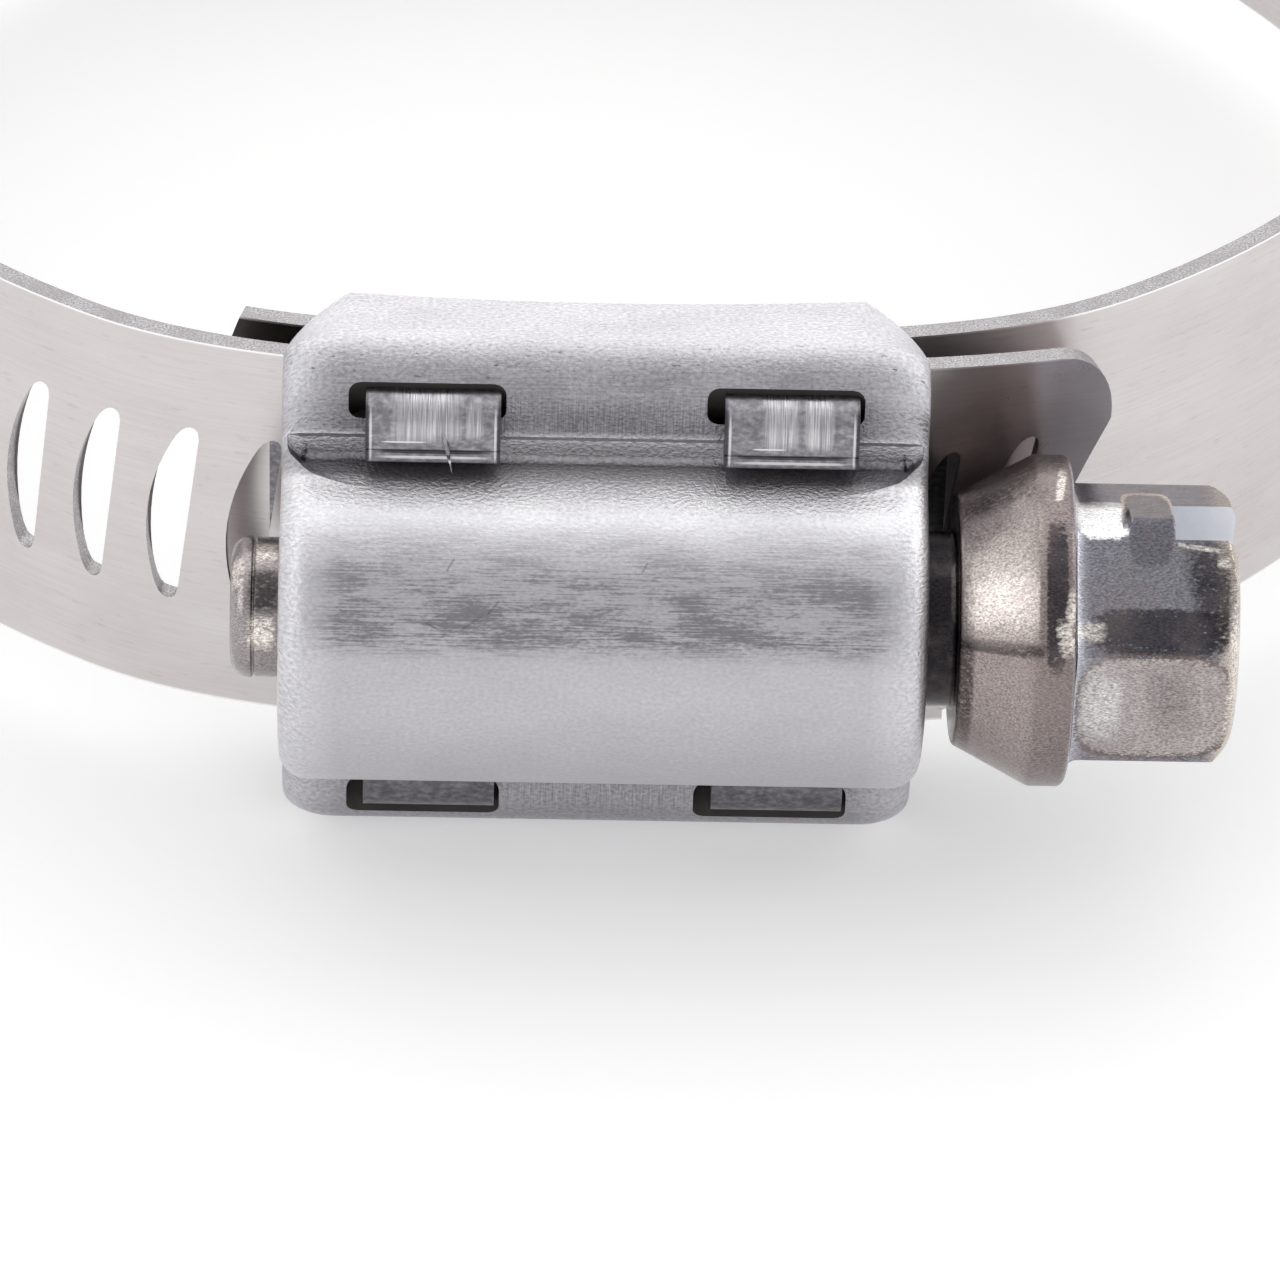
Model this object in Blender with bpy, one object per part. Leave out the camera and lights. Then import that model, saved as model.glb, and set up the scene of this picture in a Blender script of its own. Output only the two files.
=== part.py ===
# Worm drive hose clamp, 9/16 in band, shown nearly fully open.
# Frame: Z is the hose axis, the screw lies along X with its head at +X, and the housing is on the -Y side.
# The origin is the middle of the loop. Lengths are in millimetres and become metres when a mesh is made.
import math

import bmesh
import bpy
import numpy as np

METRES = 0.001

# Band: one strip of stainless steel
band_width = 14.29
band_thickness = 0.7
loop_radius = 30.75
flat_depth = 1.9
blend_width = 1.6
seat_arc_radius = 95.0
tab_reach = 12.3
tail_reach = 17.0
tail_slant_deg = 22.0
tail_corner_length = 2.1
tail_corner_height = 3.1
tail_margin = 0.35
tail_spring = 0.7
tail_spring_angle_deg = 20.0
tab_corner = 0.35

# Slots: a straight side toward the head, a bowed side toward the tip, leaning like a right-hand thread
slot_pitch = 2.83
slot_count = 34
slot_length = 7.1
slot_bow = 0.86
slot_end_width = 0.6
slot_corner = 0.6
slot_round_right = 0.33
slot_round_left = 0.07
slot_lean_deg = 7.3
slot_rise = 0.15
last_slot_reach = 13.52

# Saddle: the plate between the two layers of band, with four lugs folded over the housing
saddle_thickness = 0.8
saddle_reach = 11.0
seat_gap = 0.2
lug_width = 4.4
lug_centre = 5.85
saddle_shift = 0.2
saddle_shoulder = 9.2
saddle_end_width = 9.6
lug_edge_gap = 0.4
plate_edge_reach = 0.32
lug_fold_radius = 0.3
lug_root_radius = 0.08
lug_root_gap = 0.06
lug_fold_length = 2.15
lower_lug_inset = 0.18
lower_lug_drop = 0.16
saddle_corner = 0.45

# Housing: a pressed shell of one sheet
sheet = 0.8
housing_length = 21.2
dome_clearance = 0.72
flange_front = 0.34
shoulder_radius = 1.5
wall_gap = 0.35
groove_width = 1.0
groove_depth = 0.14
groove_slope = 0.3
groove_foot = 0.25
end_edge_radius = 1.0
wall_corner_run = 1.9
wall_corner_width = 1.4
recess_reach = 8.6
recess_end_radius = 1.9
recess_fill_deg = 77.0
recess_fill_handle = 0.7
recess_fill_margin = 0.45
polar_depth = 4.0
cavity_edge_radius = 0.3
skirt_overlap = 0.6
skirt_corner_length = 2.1
skirt_corner_height = 2.8
window_width = 5.15
window_depth = 1.1
window_edge_gap = 0.15
passage_gap = 0.4
cut_margin = 0.4

# Screw: cold-headed in one piece, with a rolled worm
crest_radius = 4.15
root_radius = 3.0
crest_width = 0.66
thread_root_width = 1.25
slot_engagement = 0.6
thread_flank_gap = 0.13
thread_embed = 0.25
thread_run_out = 0.3
worm_reach = 9.1
tip_radius = 2.32
tip_reach = 12.25
tip_round = 0.8
tip_shoulder = 0.35
neck_radius = 2.9
bore_gap = 0.22
collar_gap = 1.05
collar_face_radius = 4.15
collar_radius = 5.5
collar_cone_length = 2.85
collar_rim_length = 0.9
collar_face_round = 0.15
collar_round = 0.25
hex_across_flats = 8.3
hex_length = 5.45
hex_chamfer = 0.45
hex_corner_cut = 0.06
hex_corner_deg = 79.6
driver_slot_width = 1.9
driver_slot_depth = 2.15
driver_slot_deg = 83.0

# Smoothness of the round forms
ROUND_STEPS = 32
LOOP_STEP_DEG = 3.5
DOME_STEPS = 18

# Places that follow from the sizes above, as depths behind the screw axis toward the hose
slotted_front = crest_radius - slot_engagement
turn_rise = band_thickness + saddle_thickness + 2 * seat_gap
fixed_back = slotted_front + turn_rise + band_thickness
screw_offset = loop_radius - flat_depth + fixed_back
dome_radius = crest_radius + dome_clearance + sheet
lug_outer = band_width / 2 + lug_edge_gap + saddle_thickness
wall_inner = lug_outer + wall_gap
wall_outer = wall_inner + sheet
half_housing = housing_length / 2
collar_start = half_housing + collar_gap
collar_rim_start = collar_start + collar_cone_length
hex_start = collar_rim_start + collar_rim_length
hex_end = hex_start + hex_length


def clear_scene():
    for item in list(bpy.data.objects):
        bpy.data.objects.remove(item, do_unlink=True)


def make_material(name, colour, roughness):
    material = bpy.data.materials.new(name)
    material.use_nodes = True
    shader = material.node_tree.nodes["Principled BSDF"]
    shader.inputs["Base Color"].default_value = (*colour, 1.0)
    shader.inputs["Metallic"].default_value = 1.0
    shader.inputs["Roughness"].default_value = roughness
    return material


def finish_object(name, mesh, material=None, y_mm=0.0):
    piece = bpy.data.objects.new(name, mesh)
    bpy.context.scene.collection.objects.link(piece)
    piece.location = (0.0, y_mm * METRES, 0.0)
    if material is not None:
        mesh.materials.append(material)
    mesh.shade_smooth()
    mesh.set_sharp_from_angle(angle=math.radians(32))
    return piece


def mesh_from_bmesh(name, bm):
    """Turns a bmesh in millimetres into a mesh in metres whose faces point out."""
    bmesh.ops.remove_doubles(bm, verts=bm.verts, dist=1e-5)
    bmesh.ops.recalc_face_normals(bm, faces=bm.faces)
    if bm.calc_volume(signed=True) < 0:
        bmesh.ops.reverse_faces(bm, faces=bm.faces)
    bmesh.ops.scale(bm, vec=(METRES, METRES, METRES), verts=bm.verts)
    mesh = bpy.data.meshes.new(name)
    bm.to_mesh(mesh)
    bm.free()
    return mesh


def make_tool(name, bm, y_mm=0.0):
    """A solid that only cuts or adds to another piece."""
    tool = finish_object(name, mesh_from_bmesh(name, bm), None, y_mm)
    tool.hide_render = True
    tool.display_type = "WIRE"
    return tool


def add_boolean(piece, tools, operation):
    """Applies several tools in one exact operation."""
    name = f"{piece.name}_{operation.lower()}"
    group = bpy.data.collections.new(name)
    bpy.context.scene.collection.children.link(group)
    for tool in tools:
        bpy.context.scene.collection.objects.unlink(tool)
        group.objects.link(tool)
    modifier = piece.modifiers.new(name, "BOOLEAN")
    modifier.operation = operation
    modifier.solver = "EXACT"
    modifier.operand_type = "COLLECTION"
    modifier.collection = group


def loft(bm, rings, fan_ends=False):
    """Joins rings of equal point counts with quads and closes both ends, with a fan where points lie in line."""
    rows = [[bm.verts.new(point) for point in ring] for ring in rings]
    count = len(rows[0])
    for near, far in zip(rows, rows[1:]):
        for i in range(count):
            j = (i + 1) % count
            bm.faces.new((near[i], near[j], far[j], far[i]))
    ends = [bm.faces.new(rows[0][::-1]), bm.faces.new(rows[-1])]
    if fan_ends:
        bmesh.ops.poke(bm, faces=ends)


def box(bm, low, high):
    """Adds a box between two corners."""
    (x0, y0, z0), (x1, y1, z1) = low, high
    floor = [(x0, y0, z0), (x1, y0, z0), (x1, y1, z0), (x0, y1, z0)]
    loft(bm, [floor, [(x, y, z1) for x, y, z in floor]])


def turned(bm, profile, steps=ROUND_STEPS):
    """Turns a profile of (x, radius) points about the X axis; radius 0 is allowed at both ends."""
    rows = []
    for x, radius in profile:
        if radius == 0.0:
            rows.append([bm.verts.new((x, 0.0, 0.0))])
            continue
        angles = [2 * math.pi * i / steps for i in range(steps)]
        rows.append([bm.verts.new((x, radius * math.cos(a), radius * math.sin(a))) for a in angles])
    for near, far in zip(rows, rows[1:]):
        for i in range(steps):
            j = (i + 1) % steps
            if len(near) == 1:
                bm.faces.new((near[0], far[j], far[i]))
            elif len(far) == 1:
                bm.faces.new((near[i], near[j], far[0]))
            else:
                bm.faces.new((near[i], near[j], far[j], far[i]))


# The band's route

def seat_arc_y(x, depth):
    """Y of the shallow arc that both layers follow inside the housing, at a depth behind the screw axis."""
    radius = seat_arc_radius - (depth - slotted_front)
    return -screw_offset + depth + radius - math.sqrt(radius * radius - x * x)


def ray_to_seat_arc(angle, depth):
    """Distance from the loop's middle to that arc, along a ray at an angle from -Y toward +X."""
    radius = seat_arc_radius - (depth - slotted_front)
    behind = screw_offset - depth - radius
    along = -behind * math.cos(angle)
    return -along + math.sqrt(along * along - behind * behind + radius * radius)


def smooth_min(a, b, width):
    near = max(width - abs(a - b), 0.0) / width
    return min(a, b) - near * near * width / 4


def inner_radius(angle):
    """Inside radius of the strip: a slow spiral, flattened onto the seat arc where it passes the housing."""
    radius = loop_radius + turn_rise * angle / (2 * math.pi)
    turn = round(angle / (2 * math.pi))
    local = angle - 2 * math.pi * turn
    if abs(local) > math.radians(60):
        return radius
    depth = fixed_back if turn == 0 else slotted_front + band_thickness
    if turn == 1 and local > 0:
        radius += tail_spring * local / math.radians(tail_spring_angle_deg)
    return smooth_min(radius, ray_to_seat_arc(local, depth), blend_width)


class Route:
    """The strip's route as points, outward normals and length, measured along its middle layer."""

    def __init__(self):
        self.angles = np.linspace(math.radians(-40), math.radians(400), 6000)
        radii = np.array([inner_radius(a) for a in self.angles])
        self.points = np.stack([radii * np.sin(self.angles), -radii * np.cos(self.angles)], 1)
        tangents = np.gradient(self.points, axis=0)
        tangents /= np.linalg.norm(tangents, axis=1)[:, None]
        self.normals = np.stack([tangents[:, 1], -tangents[:, 0]], 1)
        middle = self.points + self.normals * band_thickness / 2
        steps = np.linalg.norm(np.diff(middle, axis=0), axis=1)
        self.lengths = np.concatenate([[0.0], np.cumsum(steps)])

    def place(self, length, height):
        """The point at a length along the strip and a height above its inner face."""
        x = np.interp(length, self.lengths, self.points[:, 0])
        y = np.interp(length, self.lengths, self.points[:, 1])
        nx = np.interp(length, self.lengths, self.normals[:, 0])
        ny = np.interp(length, self.lengths, self.normals[:, 1])
        size = math.hypot(nx, ny)
        return x + nx * height / size, y + ny * height / size

    def length_at_x(self, x, turn):
        """Length where the strip crosses a given X beside the housing, on its first or last pass."""
        near = np.abs(self.angles - 2 * math.pi * turn) < math.radians(40)
        return float(np.interp(x, self.points[near, 0], self.lengths[near]))


# The band

def slot_half_width_points():
    """Rows of one slot, as (height, left edge, right edge) about the slot's middle."""
    half = slot_length / 2
    rows = []
    for share in (-1.0, -0.95, -0.84, -0.58, -0.22, 0.22, 0.58, 0.84, 0.95, 1.0):
        z = share * half
        bow = slot_bow * (1 - share * share)
        right = (slot_bow + slot_end_width) / 2
        into_corner = max(abs(z) - (half - slot_corner), 0.0) / slot_corner
        right_cut = slot_round_right * (1 - math.sqrt(max(1 - into_corner**2, 0.0)))
        left = right - slot_end_width - bow
        left_cut = slot_round_left * into_corner
        rows.append((z + slot_rise, left + left_cut, right - right_cut))
    return rows


def lean(z):
    """Sideways shift of the leaning slots at a height across the strip."""
    reach = slot_length / 2
    return math.tan(math.radians(slot_lean_deg)) * min(max(z, -reach), reach)


def tail_limit(z, tip_length):
    """Length of the obliquely cut tail at a height; its two corners are quarter ellipses."""
    half = band_width / 2
    apex = half - tail_corner_height
    slant = math.tan(math.radians(tail_slant_deg))
    into = max(abs(z) - apex, 0.0) / tail_corner_height
    cut = tail_corner_length * (1 - math.sqrt(max(1 - into * into, 0.0)))
    return tip_length - (apex - min(z, apex)) * slant - cut


def tab_limit(z, start_length):
    """Length of the square-cut fixed end at a height, with small round corners."""
    over = max(abs(z) - (band_width / 2 - tab_corner), 0.0) / tab_corner
    return start_length + tab_corner * (1 - math.sqrt(max(1 - over * over, 0.0)))


def tail_press(route):
    """Where the tail starts to bow, where the collar's rim meets it, and how far the rim presses its middle back."""
    start = route.length_at_x(half_housing, 1)
    rim = route.length_at_x(collar_rim_start, 1)
    x, y = route.place(rim, band_thickness)
    press = collar_radius + seat_gap - (y + screw_offset)
    return start, rim, max(press, 0.0)


def strip_columns(route):
    """Columns along the strip: each is a function of height that gives a length, and the hole to its right."""
    start = route.length_at_x(-tab_reach, 0)
    tip = route.length_at_x(tail_reach, 1)
    last_slot = route.length_at_x(last_slot_reach, 1)
    first_edge = last_slot - (slot_count - 0.5) * slot_pitch
    columns = [(lambda z: tab_limit(z, start), False)]
    plain = first_edge - start - 1.0
    count = max(int(plain / (loop_radius * math.radians(LOOP_STEP_DEG))), 8)
    for i in range(1, count + 1):
        columns.append((lambda z, at=start + 1.0 + (plain - 1.0) * i / count: at, False))
    for i in range(slot_count + 1):
        edge = first_edge + i * slot_pitch
        columns.append((lambda z, at=edge: min(at + lean(z), tail_limit(z, tip) - tail_margin), i < slot_count))
    columns.append((lambda z: tail_limit(z, tip), False))
    return columns


def build_band(route, material):
    """Draws the flat strip with its slots, extrudes it to thickness and bends it onto its route."""
    bm = bmesh.new()
    half = band_width / 2
    slot_rows = slot_half_width_points()
    inner = [z for z, _, _ in slot_rows]
    tail_rows = [half - tail_corner_height * (1 - share) for share in (0.42, 0.7, 0.87, 0.965)]
    heights = [-half, -half + tab_corner * 0.35, *inner, *tail_rows, half]
    heights = sorted(set(heights))
    edges = {z: (left, right) for z, left, right in slot_rows}
    columns = strip_columns(route)
    grid = [[bm.verts.new((at(z), z, 0.0)) for z in heights] for at, _ in columns]
    for c in range(len(columns) - 1):
        near, far = grid[c], grid[c + 1]
        if not columns[c][1]:
            for k in range(len(heights) - 1):
                bm.faces.new((near[k], far[k], far[k + 1], near[k + 1]))
            continue
        middle = columns[c][0](0.0) + slot_pitch / 2
        sides = {}
        for k, z in enumerate(heights):
            if z in edges:
                left, right = edges[z]
                shift = middle + lean(z)
                sides[k] = (bm.verts.new((shift + left, z, 0.0)), bm.verts.new((shift + right, z, 0.0)))
        first, last = min(sides), max(sides)
        for k in range(len(heights) - 1):
            if k in sides and k + 1 in sides:
                bm.faces.new((near[k], sides[k][0], sides[k + 1][0], near[k + 1]))
                bm.faces.new((sides[k][1], far[k], far[k + 1], sides[k + 1][1]))
            elif k + 1 == first:
                bm.faces.new((near[k], far[k], far[k + 1], sides[first][1], sides[first][0], near[k + 1]))
            elif k == last:
                bm.faces.new((near[k], sides[last][0], sides[last][1], far[k], far[k + 1], near[k + 1]))
            else:
                bm.faces.new((near[k], far[k], far[k + 1], near[k + 1]))
    flat = list(bm.faces)
    raised = bmesh.ops.extrude_face_region(bm, geom=flat)["geom"]
    raised = [item for item in raised if isinstance(item, bmesh.types.BMVert)]
    bmesh.ops.translate(bm, vec=(0.0, 0.0, band_thickness), verts=raised)
    press_start, press_end, press = tail_press(route)
    for vert in bm.verts:
        length, z, height = vert.co
        share = min(max((length - press_start) / (press_end - press_start), 0.0), 1.0)
        bow = press * share * share * (3 - 2 * share) * (1 - (z / half) ** 2)
        x, y = route.place(length, height - bow)
        vert.co = (x, y, z)
    return finish_object("band", mesh_from_bmesh("band", bm), material)


# The saddle

def ribbon(points, thickness):
    """Closed outline of a bent sheet, from its outer line of (y, z) points and its thickness to the left."""
    line = np.array(points)
    directions = np.gradient(line, axis=0)
    directions /= np.linalg.norm(directions, axis=1)[:, None]
    inner = line + np.stack([-directions[:, 1], directions[:, 0]], 1) * thickness
    return [tuple(p) for p in line] + [tuple(p) for p in inner[::-1]]


def lug_outline(inset, drop):
    """Section of a lug: from the plate's edge through the window and folded toward the dome."""
    outer_z = lug_outer - inset
    root_y = slotted_front + band_thickness + seat_gap + saddle_thickness
    fold_y = flange_front - seat_gap - saddle_thickness + drop
    corner = saddle_thickness + lug_root_radius
    line = [(root_y, band_width / 2 + lug_root_gap), (root_y, outer_z - corner)]
    for i in range(1, 6):
        a = math.radians(90 * i / 6)
        line.append((root_y - corner + corner * math.cos(a), outer_z - corner + corner * math.sin(a)))
    line.append((root_y - corner, outer_z))
    fold = saddle_thickness + lug_fold_radius
    line.append((fold_y + fold, outer_z))
    for i in range(1, 6):
        a = math.radians(90 * i / 6)
        line.append((fold_y + fold - fold * math.sin(a), outer_z - fold + fold * math.cos(a)))
    line.append((fold_y, outer_z - fold))
    line.append((fold_y, outer_z - lug_fold_length))
    return ribbon(line, saddle_thickness)


def build_saddle(route, material):
    bm = bmesh.new()
    first = route.length_at_x(saddle_shift - saddle_reach, 0)
    last = route.length_at_x(saddle_shift + saddle_reach, 0)
    low = band_thickness + seat_gap
    wide = band_width / 2 + plate_edge_reach
    shoulder = (last - first) / 2 * (1 - saddle_shoulder / saddle_reach)
    corner = saddle_corner
    along = [0.0, shoulder - corner, shoulder - corner * 0.3, shoulder]
    along += [shoulder + (last - first - 2 * shoulder) * i / 12 for i in range(1, 12)]
    along += [last - first - a for a in along[3::-1]]
    rings = []
    for a in along:
        inward = shoulder - min(a, last - first - a)
        half = wide if inward < 1e-9 else saddle_end_width / 2 + (corner - inward if inward < corner else 0.0)
        near, far = route.place(first + a, low), route.place(first + a, low + saddle_thickness)
        rings.append([(*near, -half), (*far, -half), (*far, half), (*near, half)])
    loft(bm, rings)
    saddle = finish_object("saddle", mesh_from_bmesh("saddle", bm), material)
    lugs = []
    for side in (-1, 1):
        for end in (-1, 1):
            lug = bmesh.new()
            shift = (0.0, 0.0) if side > 0 else (lower_lug_inset, lower_lug_drop)
            outline = [(y - screw_offset, side * z) for y, z in lug_outline(*shift)]
            x0 = saddle_shift + end * lug_centre - lug_width / 2
            x1 = saddle_shift + end * lug_centre + lug_width / 2
            loft(lug, [[(x, y, z) for y, z in outline] for x in (x0, x1)])
            name = f"lug_{'upper' if side > 0 else 'lower'}_{'head' if end > 0 else 'tip'}"
            lugs.append(make_tool(name, lug))
    add_boolean(saddle, lugs, "UNION")
    return saddle


# The housing

def housing_section(dome, flange, wall, corner, groove):
    """Half of a section of the shell, from the wall to the top of the dome, as (depth, height) points."""
    points = [(flange + corner, wall)]
    for i in range(1, 7):
        a = math.radians(90 * i / 6)
        points.append((flange + corner - corner * math.sin(a), wall - corner + corner * math.cos(a)))
    foot = math.sqrt(dome * dome - flange * flange)
    if groove > 0:
        points.append((flange, foot + groove_width + groove_slope))
        points.append((flange + groove, foot + groove_width))
        points.append((flange + groove, foot + groove_foot))
    start = math.asin(flange / dome)
    for i in range(DOME_STEPS + 1):
        a = -start + (math.pi / 2 + start) * i / DOME_STEPS
        points.append((-dome * math.sin(a), dome * math.cos(a)))
    return points


def fill_radius(dome, flange, angles, reach):
    """Ray lengths where the recess is filled at its ends: a curve that leaves the dome and lands on the flange."""
    turn = math.radians(recess_fill_deg)
    start = np.array([-dome * math.cos(turn), dome * math.sin(turn)])
    foot = math.sqrt(dome * dome - flange * flange)
    end = np.array([flange, foot + groove_width + groove_slope + recess_fill_margin])
    leave = start + recess_fill_handle * np.array([math.sin(turn), math.cos(turn)])
    land = end - np.array([0.0, recess_fill_handle])
    t = np.linspace(0, 1, 25)[:, None]
    curve = start * (1 - t) ** 3 + 3 * leave * t * (1 - t) ** 2 + 3 * land * t * t * (1 - t) + end * t**3
    around = np.arctan2(curve[:, 1], polar_depth - curve[:, 0])
    length = np.hypot(curve[:, 1], polar_depth - curve[:, 0])
    filled = np.interp(angles, around, length)
    inside = (angles > around[0]) & (angles < around[-1])
    return np.where(inside, np.maximum(filled, reach), reach)


def shell_rings(section, fill, stations, back, back_height, edge_radius):
    """Rings of the shell at stations along X; toward its ends the recess beside the dome is filled."""
    centre = polar_depth
    half = np.array(section)
    around = np.arctan2(half[:, 1], centre - half[:, 0])
    reach = np.hypot(half[:, 1], centre - half[:, 0])
    filled = fill_radius(*fill, around, reach)
    near_wall = np.clip((half[:, 1] - back_height) / wall_corner_width + 1, 0.0, 1.0)
    run = edge_radius * (1 + (wall_corner_run - 1) * near_wall)
    rings = []
    end = max(stations)
    for x in stations:
        into_end = np.clip((abs(x) - end) / run + 1, 0.0, 1.0)
        shrink = edge_radius * (1 - np.sqrt(1 - into_end**2))
        past = min(max(abs(x) - recess_reach, 0.0), recess_end_radius)
        rise = recess_end_radius - math.sqrt(recess_end_radius**2 - past * past)
        radius = np.minimum(filled, reach + rise) - shrink
        upper = [(centre - r * math.cos(a), r * math.sin(a)) for r, a in zip(radius, around)]
        upper.insert(0, (back(x), back_height - shrink[0]))
        lower = [(y, -z) for y, z in upper[:-1]]
        rings.append([(x, y, z) for y, z in upper + lower[::-1]])
    return rings


def end_stations(half, edge_radius):
    """X stations: few along the middle, more where the recess ends and round the end edges."""
    outer = [half - edge_radius + edge_radius * math.sin(math.radians(a)) for a in (18, 36, 54, 72, 90)]
    middle = list(np.linspace(recess_reach, half - edge_radius, 8))
    side = [recess_reach * 0.5, *middle, *outer]
    return [-x for x in side[::-1]] + [0.0] + side


def skirt_back(x):
    """Depth of the side walls' back edge, which follows the seat arc."""
    return seat_arc_y(x, slotted_front) + screw_offset + skirt_overlap


def shell_cavity():
    cavity_half = half_housing - sheet
    fill = (dome_radius - sheet, flange_front + sheet)
    section = housing_section(*fill, wall_inner, shoulder_radius - sheet, 0.0)
    stations = end_stations(cavity_half, cavity_edge_radius)
    bm = bmesh.new()
    loft(bm, shell_rings(section, fill, stations, lambda x: wall_inner, wall_inner, cavity_edge_radius), True)
    return make_tool("shell_cavity", bm, -screw_offset)


def window_cutters():
    bm = bmesh.new()
    outer = wall_inner - window_edge_gap
    for side in (-1, 1):
        for end in (-1, 1):
            x = end * lug_centre
            depth = window_depth if side > 0 else window_depth + lower_lug_inset
            z0, z1 = sorted((side * (outer - depth), side * outer))
            low = (x - window_width / 2, flange_front - shoulder_radius, z0)
            high = (x + window_width / 2, flange_front + shoulder_radius + cut_margin, z1)
            box(bm, low, high)
    return make_tool("window_cutters", bm, -screw_offset)


def end_opening(name, side, radius):
    """A slot-shaped hole in an end wall: round about the screw and open toward the band."""
    bm = bmesh.new()
    x0, x1 = half_housing - sheet - cut_margin, half_housing + cut_margin
    outline = []
    for i in range(ROUND_STEPS // 2 + 1):
        a = math.pi * i / (ROUND_STEPS // 2)
        outline.append((-radius * math.sin(a), radius * math.cos(a)))
    depth = seat_arc_y(x0, slotted_front) + screw_offset
    outline += [(depth, -radius), (depth, radius)]
    loft(bm, [[(side * x, y, z) for y, z in outline] for x in (x0, x1)])
    return make_tool(name, bm, -screw_offset)


def band_passage():
    bm = bmesh.new()
    reach = band_width / 2 + passage_gap
    front = seat_arc_y(half_housing - sheet, slotted_front) + screw_offset - seat_gap
    for side in (-1, 1):
        x0, x1 = sorted((side * (half_housing - sheet - cut_margin), side * (half_housing + cut_margin)))
        box(bm, (x0, front, -reach), (x1, wall_outer, reach))
    return make_tool("band_passage", bm, -screw_offset)


def skirt_corner_cutters():
    """Wedges that slope the side walls' back corners."""
    bm = bmesh.new()
    for side in (-1, 1):
        for end in (-1, 1):
            back = skirt_back(half_housing) + cut_margin
            start = half_housing - skirt_corner_length
            slope = skirt_corner_length / skirt_corner_height
            front = skirt_back(start) - skirt_corner_height
            far = half_housing + cut_margin
            outline = [(far, front - cut_margin / slope), (start - cut_margin * slope, back), (far, back)]
            z0, z1 = sorted((side * (band_width / 2 + passage_gap / 2), side * (wall_outer + cut_margin)))
            loft(bm, [[(end * x, y, z) for x, y in outline] for z in (z0, z1)])
    return make_tool("skirt_corner_cutters", bm, -screw_offset)


def build_housing(material):
    fill = (dome_radius, flange_front)
    section = housing_section(*fill, wall_outer, shoulder_radius, groove_depth)
    bm = bmesh.new()
    stations = end_stations(half_housing, end_edge_radius)
    loft(bm, shell_rings(section, fill, stations, skirt_back, wall_outer, end_edge_radius), True)
    housing = finish_object("housing", mesh_from_bmesh("housing", bm), material, -screw_offset)
    tools = (
        shell_cavity(),
        window_cutters(),
        end_opening("tip_opening", -1, tip_radius + bore_gap),
        end_opening("neck_opening", 1, neck_radius + bore_gap),
        band_passage(),
        skirt_corner_cutters(),
    )
    add_boolean(housing, tools, "DIFFERENCE")
    return housing


# The screw

def worm_thread(phase_x):
    """A right-hand ridge of trapezoid section; phase_x is where its crest meets the band."""
    bm = bmesh.new()
    turns = 2 * worm_reach / slot_pitch - thread_root_width / slot_pitch
    steps = int(turns * ROUND_STEPS)
    start = phase_x - math.floor((phase_x + worm_reach - thread_root_width / 2) / slot_pitch) * slot_pitch
    root = root_radius - thread_embed
    rings = []
    for i in range(steps + 1):
        turn = (i + 0.5) / ROUND_STEPS
        x = start + turn * slot_pitch
        if x > worm_reach - thread_root_width / 2:
            break
        fade = min(1.0, min(turn, (worm_reach - thread_root_width / 2 - x) / slot_pitch) / thread_run_out + 0.08)
        crest = root_radius + (crest_radius - root_radius) * fade
        a = 2 * math.pi * turn
        flank = thread_root_width / 2 + (thread_root_width - crest_width) / 2 * thread_embed / (crest_radius - root_radius)
        ring = []
        for dx, radius in ((-flank, root), (-crest_width / 2, crest), (crest_width / 2, crest), (flank, root)):
            ring.append((x + dx, radius * math.cos(a), radius * math.sin(a)))
        rings.append(ring)
    loft(bm, rings)
    return make_tool("worm_thread", bm, -screw_offset)


def hex_head():
    """A hexagon prism whose outer end is rounded off by a turned outline."""
    corner = hex_across_flats / math.sqrt(3)
    bm = bmesh.new()
    ring = []
    for i in range(6):
        a = math.radians(hex_corner_deg + 60 * i)
        ring.append((-corner * math.cos(a), corner * math.sin(a)))
    loft(bm, [[(x, y, z) for y, z in ring] for x in (hex_start - 0.5, hex_end)])
    return make_tool("hex_head", bm, -screw_offset)


def hex_outline_limit():
    corner = hex_across_flats / math.sqrt(3)
    bm = bmesh.new()
    profile = [(-tip_reach - 1.0, 0.0), (-tip_reach - 1.0, collar_radius + 1.0)]
    profile += [(hex_start - 0.01, collar_radius + 1.0), (hex_start + 0.01, corner - hex_corner_cut)]
    for i in range(5):
        a = math.radians(90 * i / 4)
        profile.append((hex_end - hex_chamfer + hex_chamfer * math.sin(a), corner - hex_corner_cut - hex_chamfer * (1 - math.cos(a))))
    profile.append((hex_end + 0.001, 0.0))
    turned(bm, profile)
    return make_tool("hex_outline_limit", bm, -screw_offset)


def driver_slot():
    bm = bmesh.new()
    reach = collar_radius
    box(bm, (hex_end - driver_slot_depth, -driver_slot_width / 2, -reach), (hex_end + 1.0, driver_slot_width / 2, reach))
    tool = make_tool("driver_slot", bm, -screw_offset)
    tool.rotation_euler = (math.radians(90 - driver_slot_deg), 0.0, 0.0)
    return tool


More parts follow.
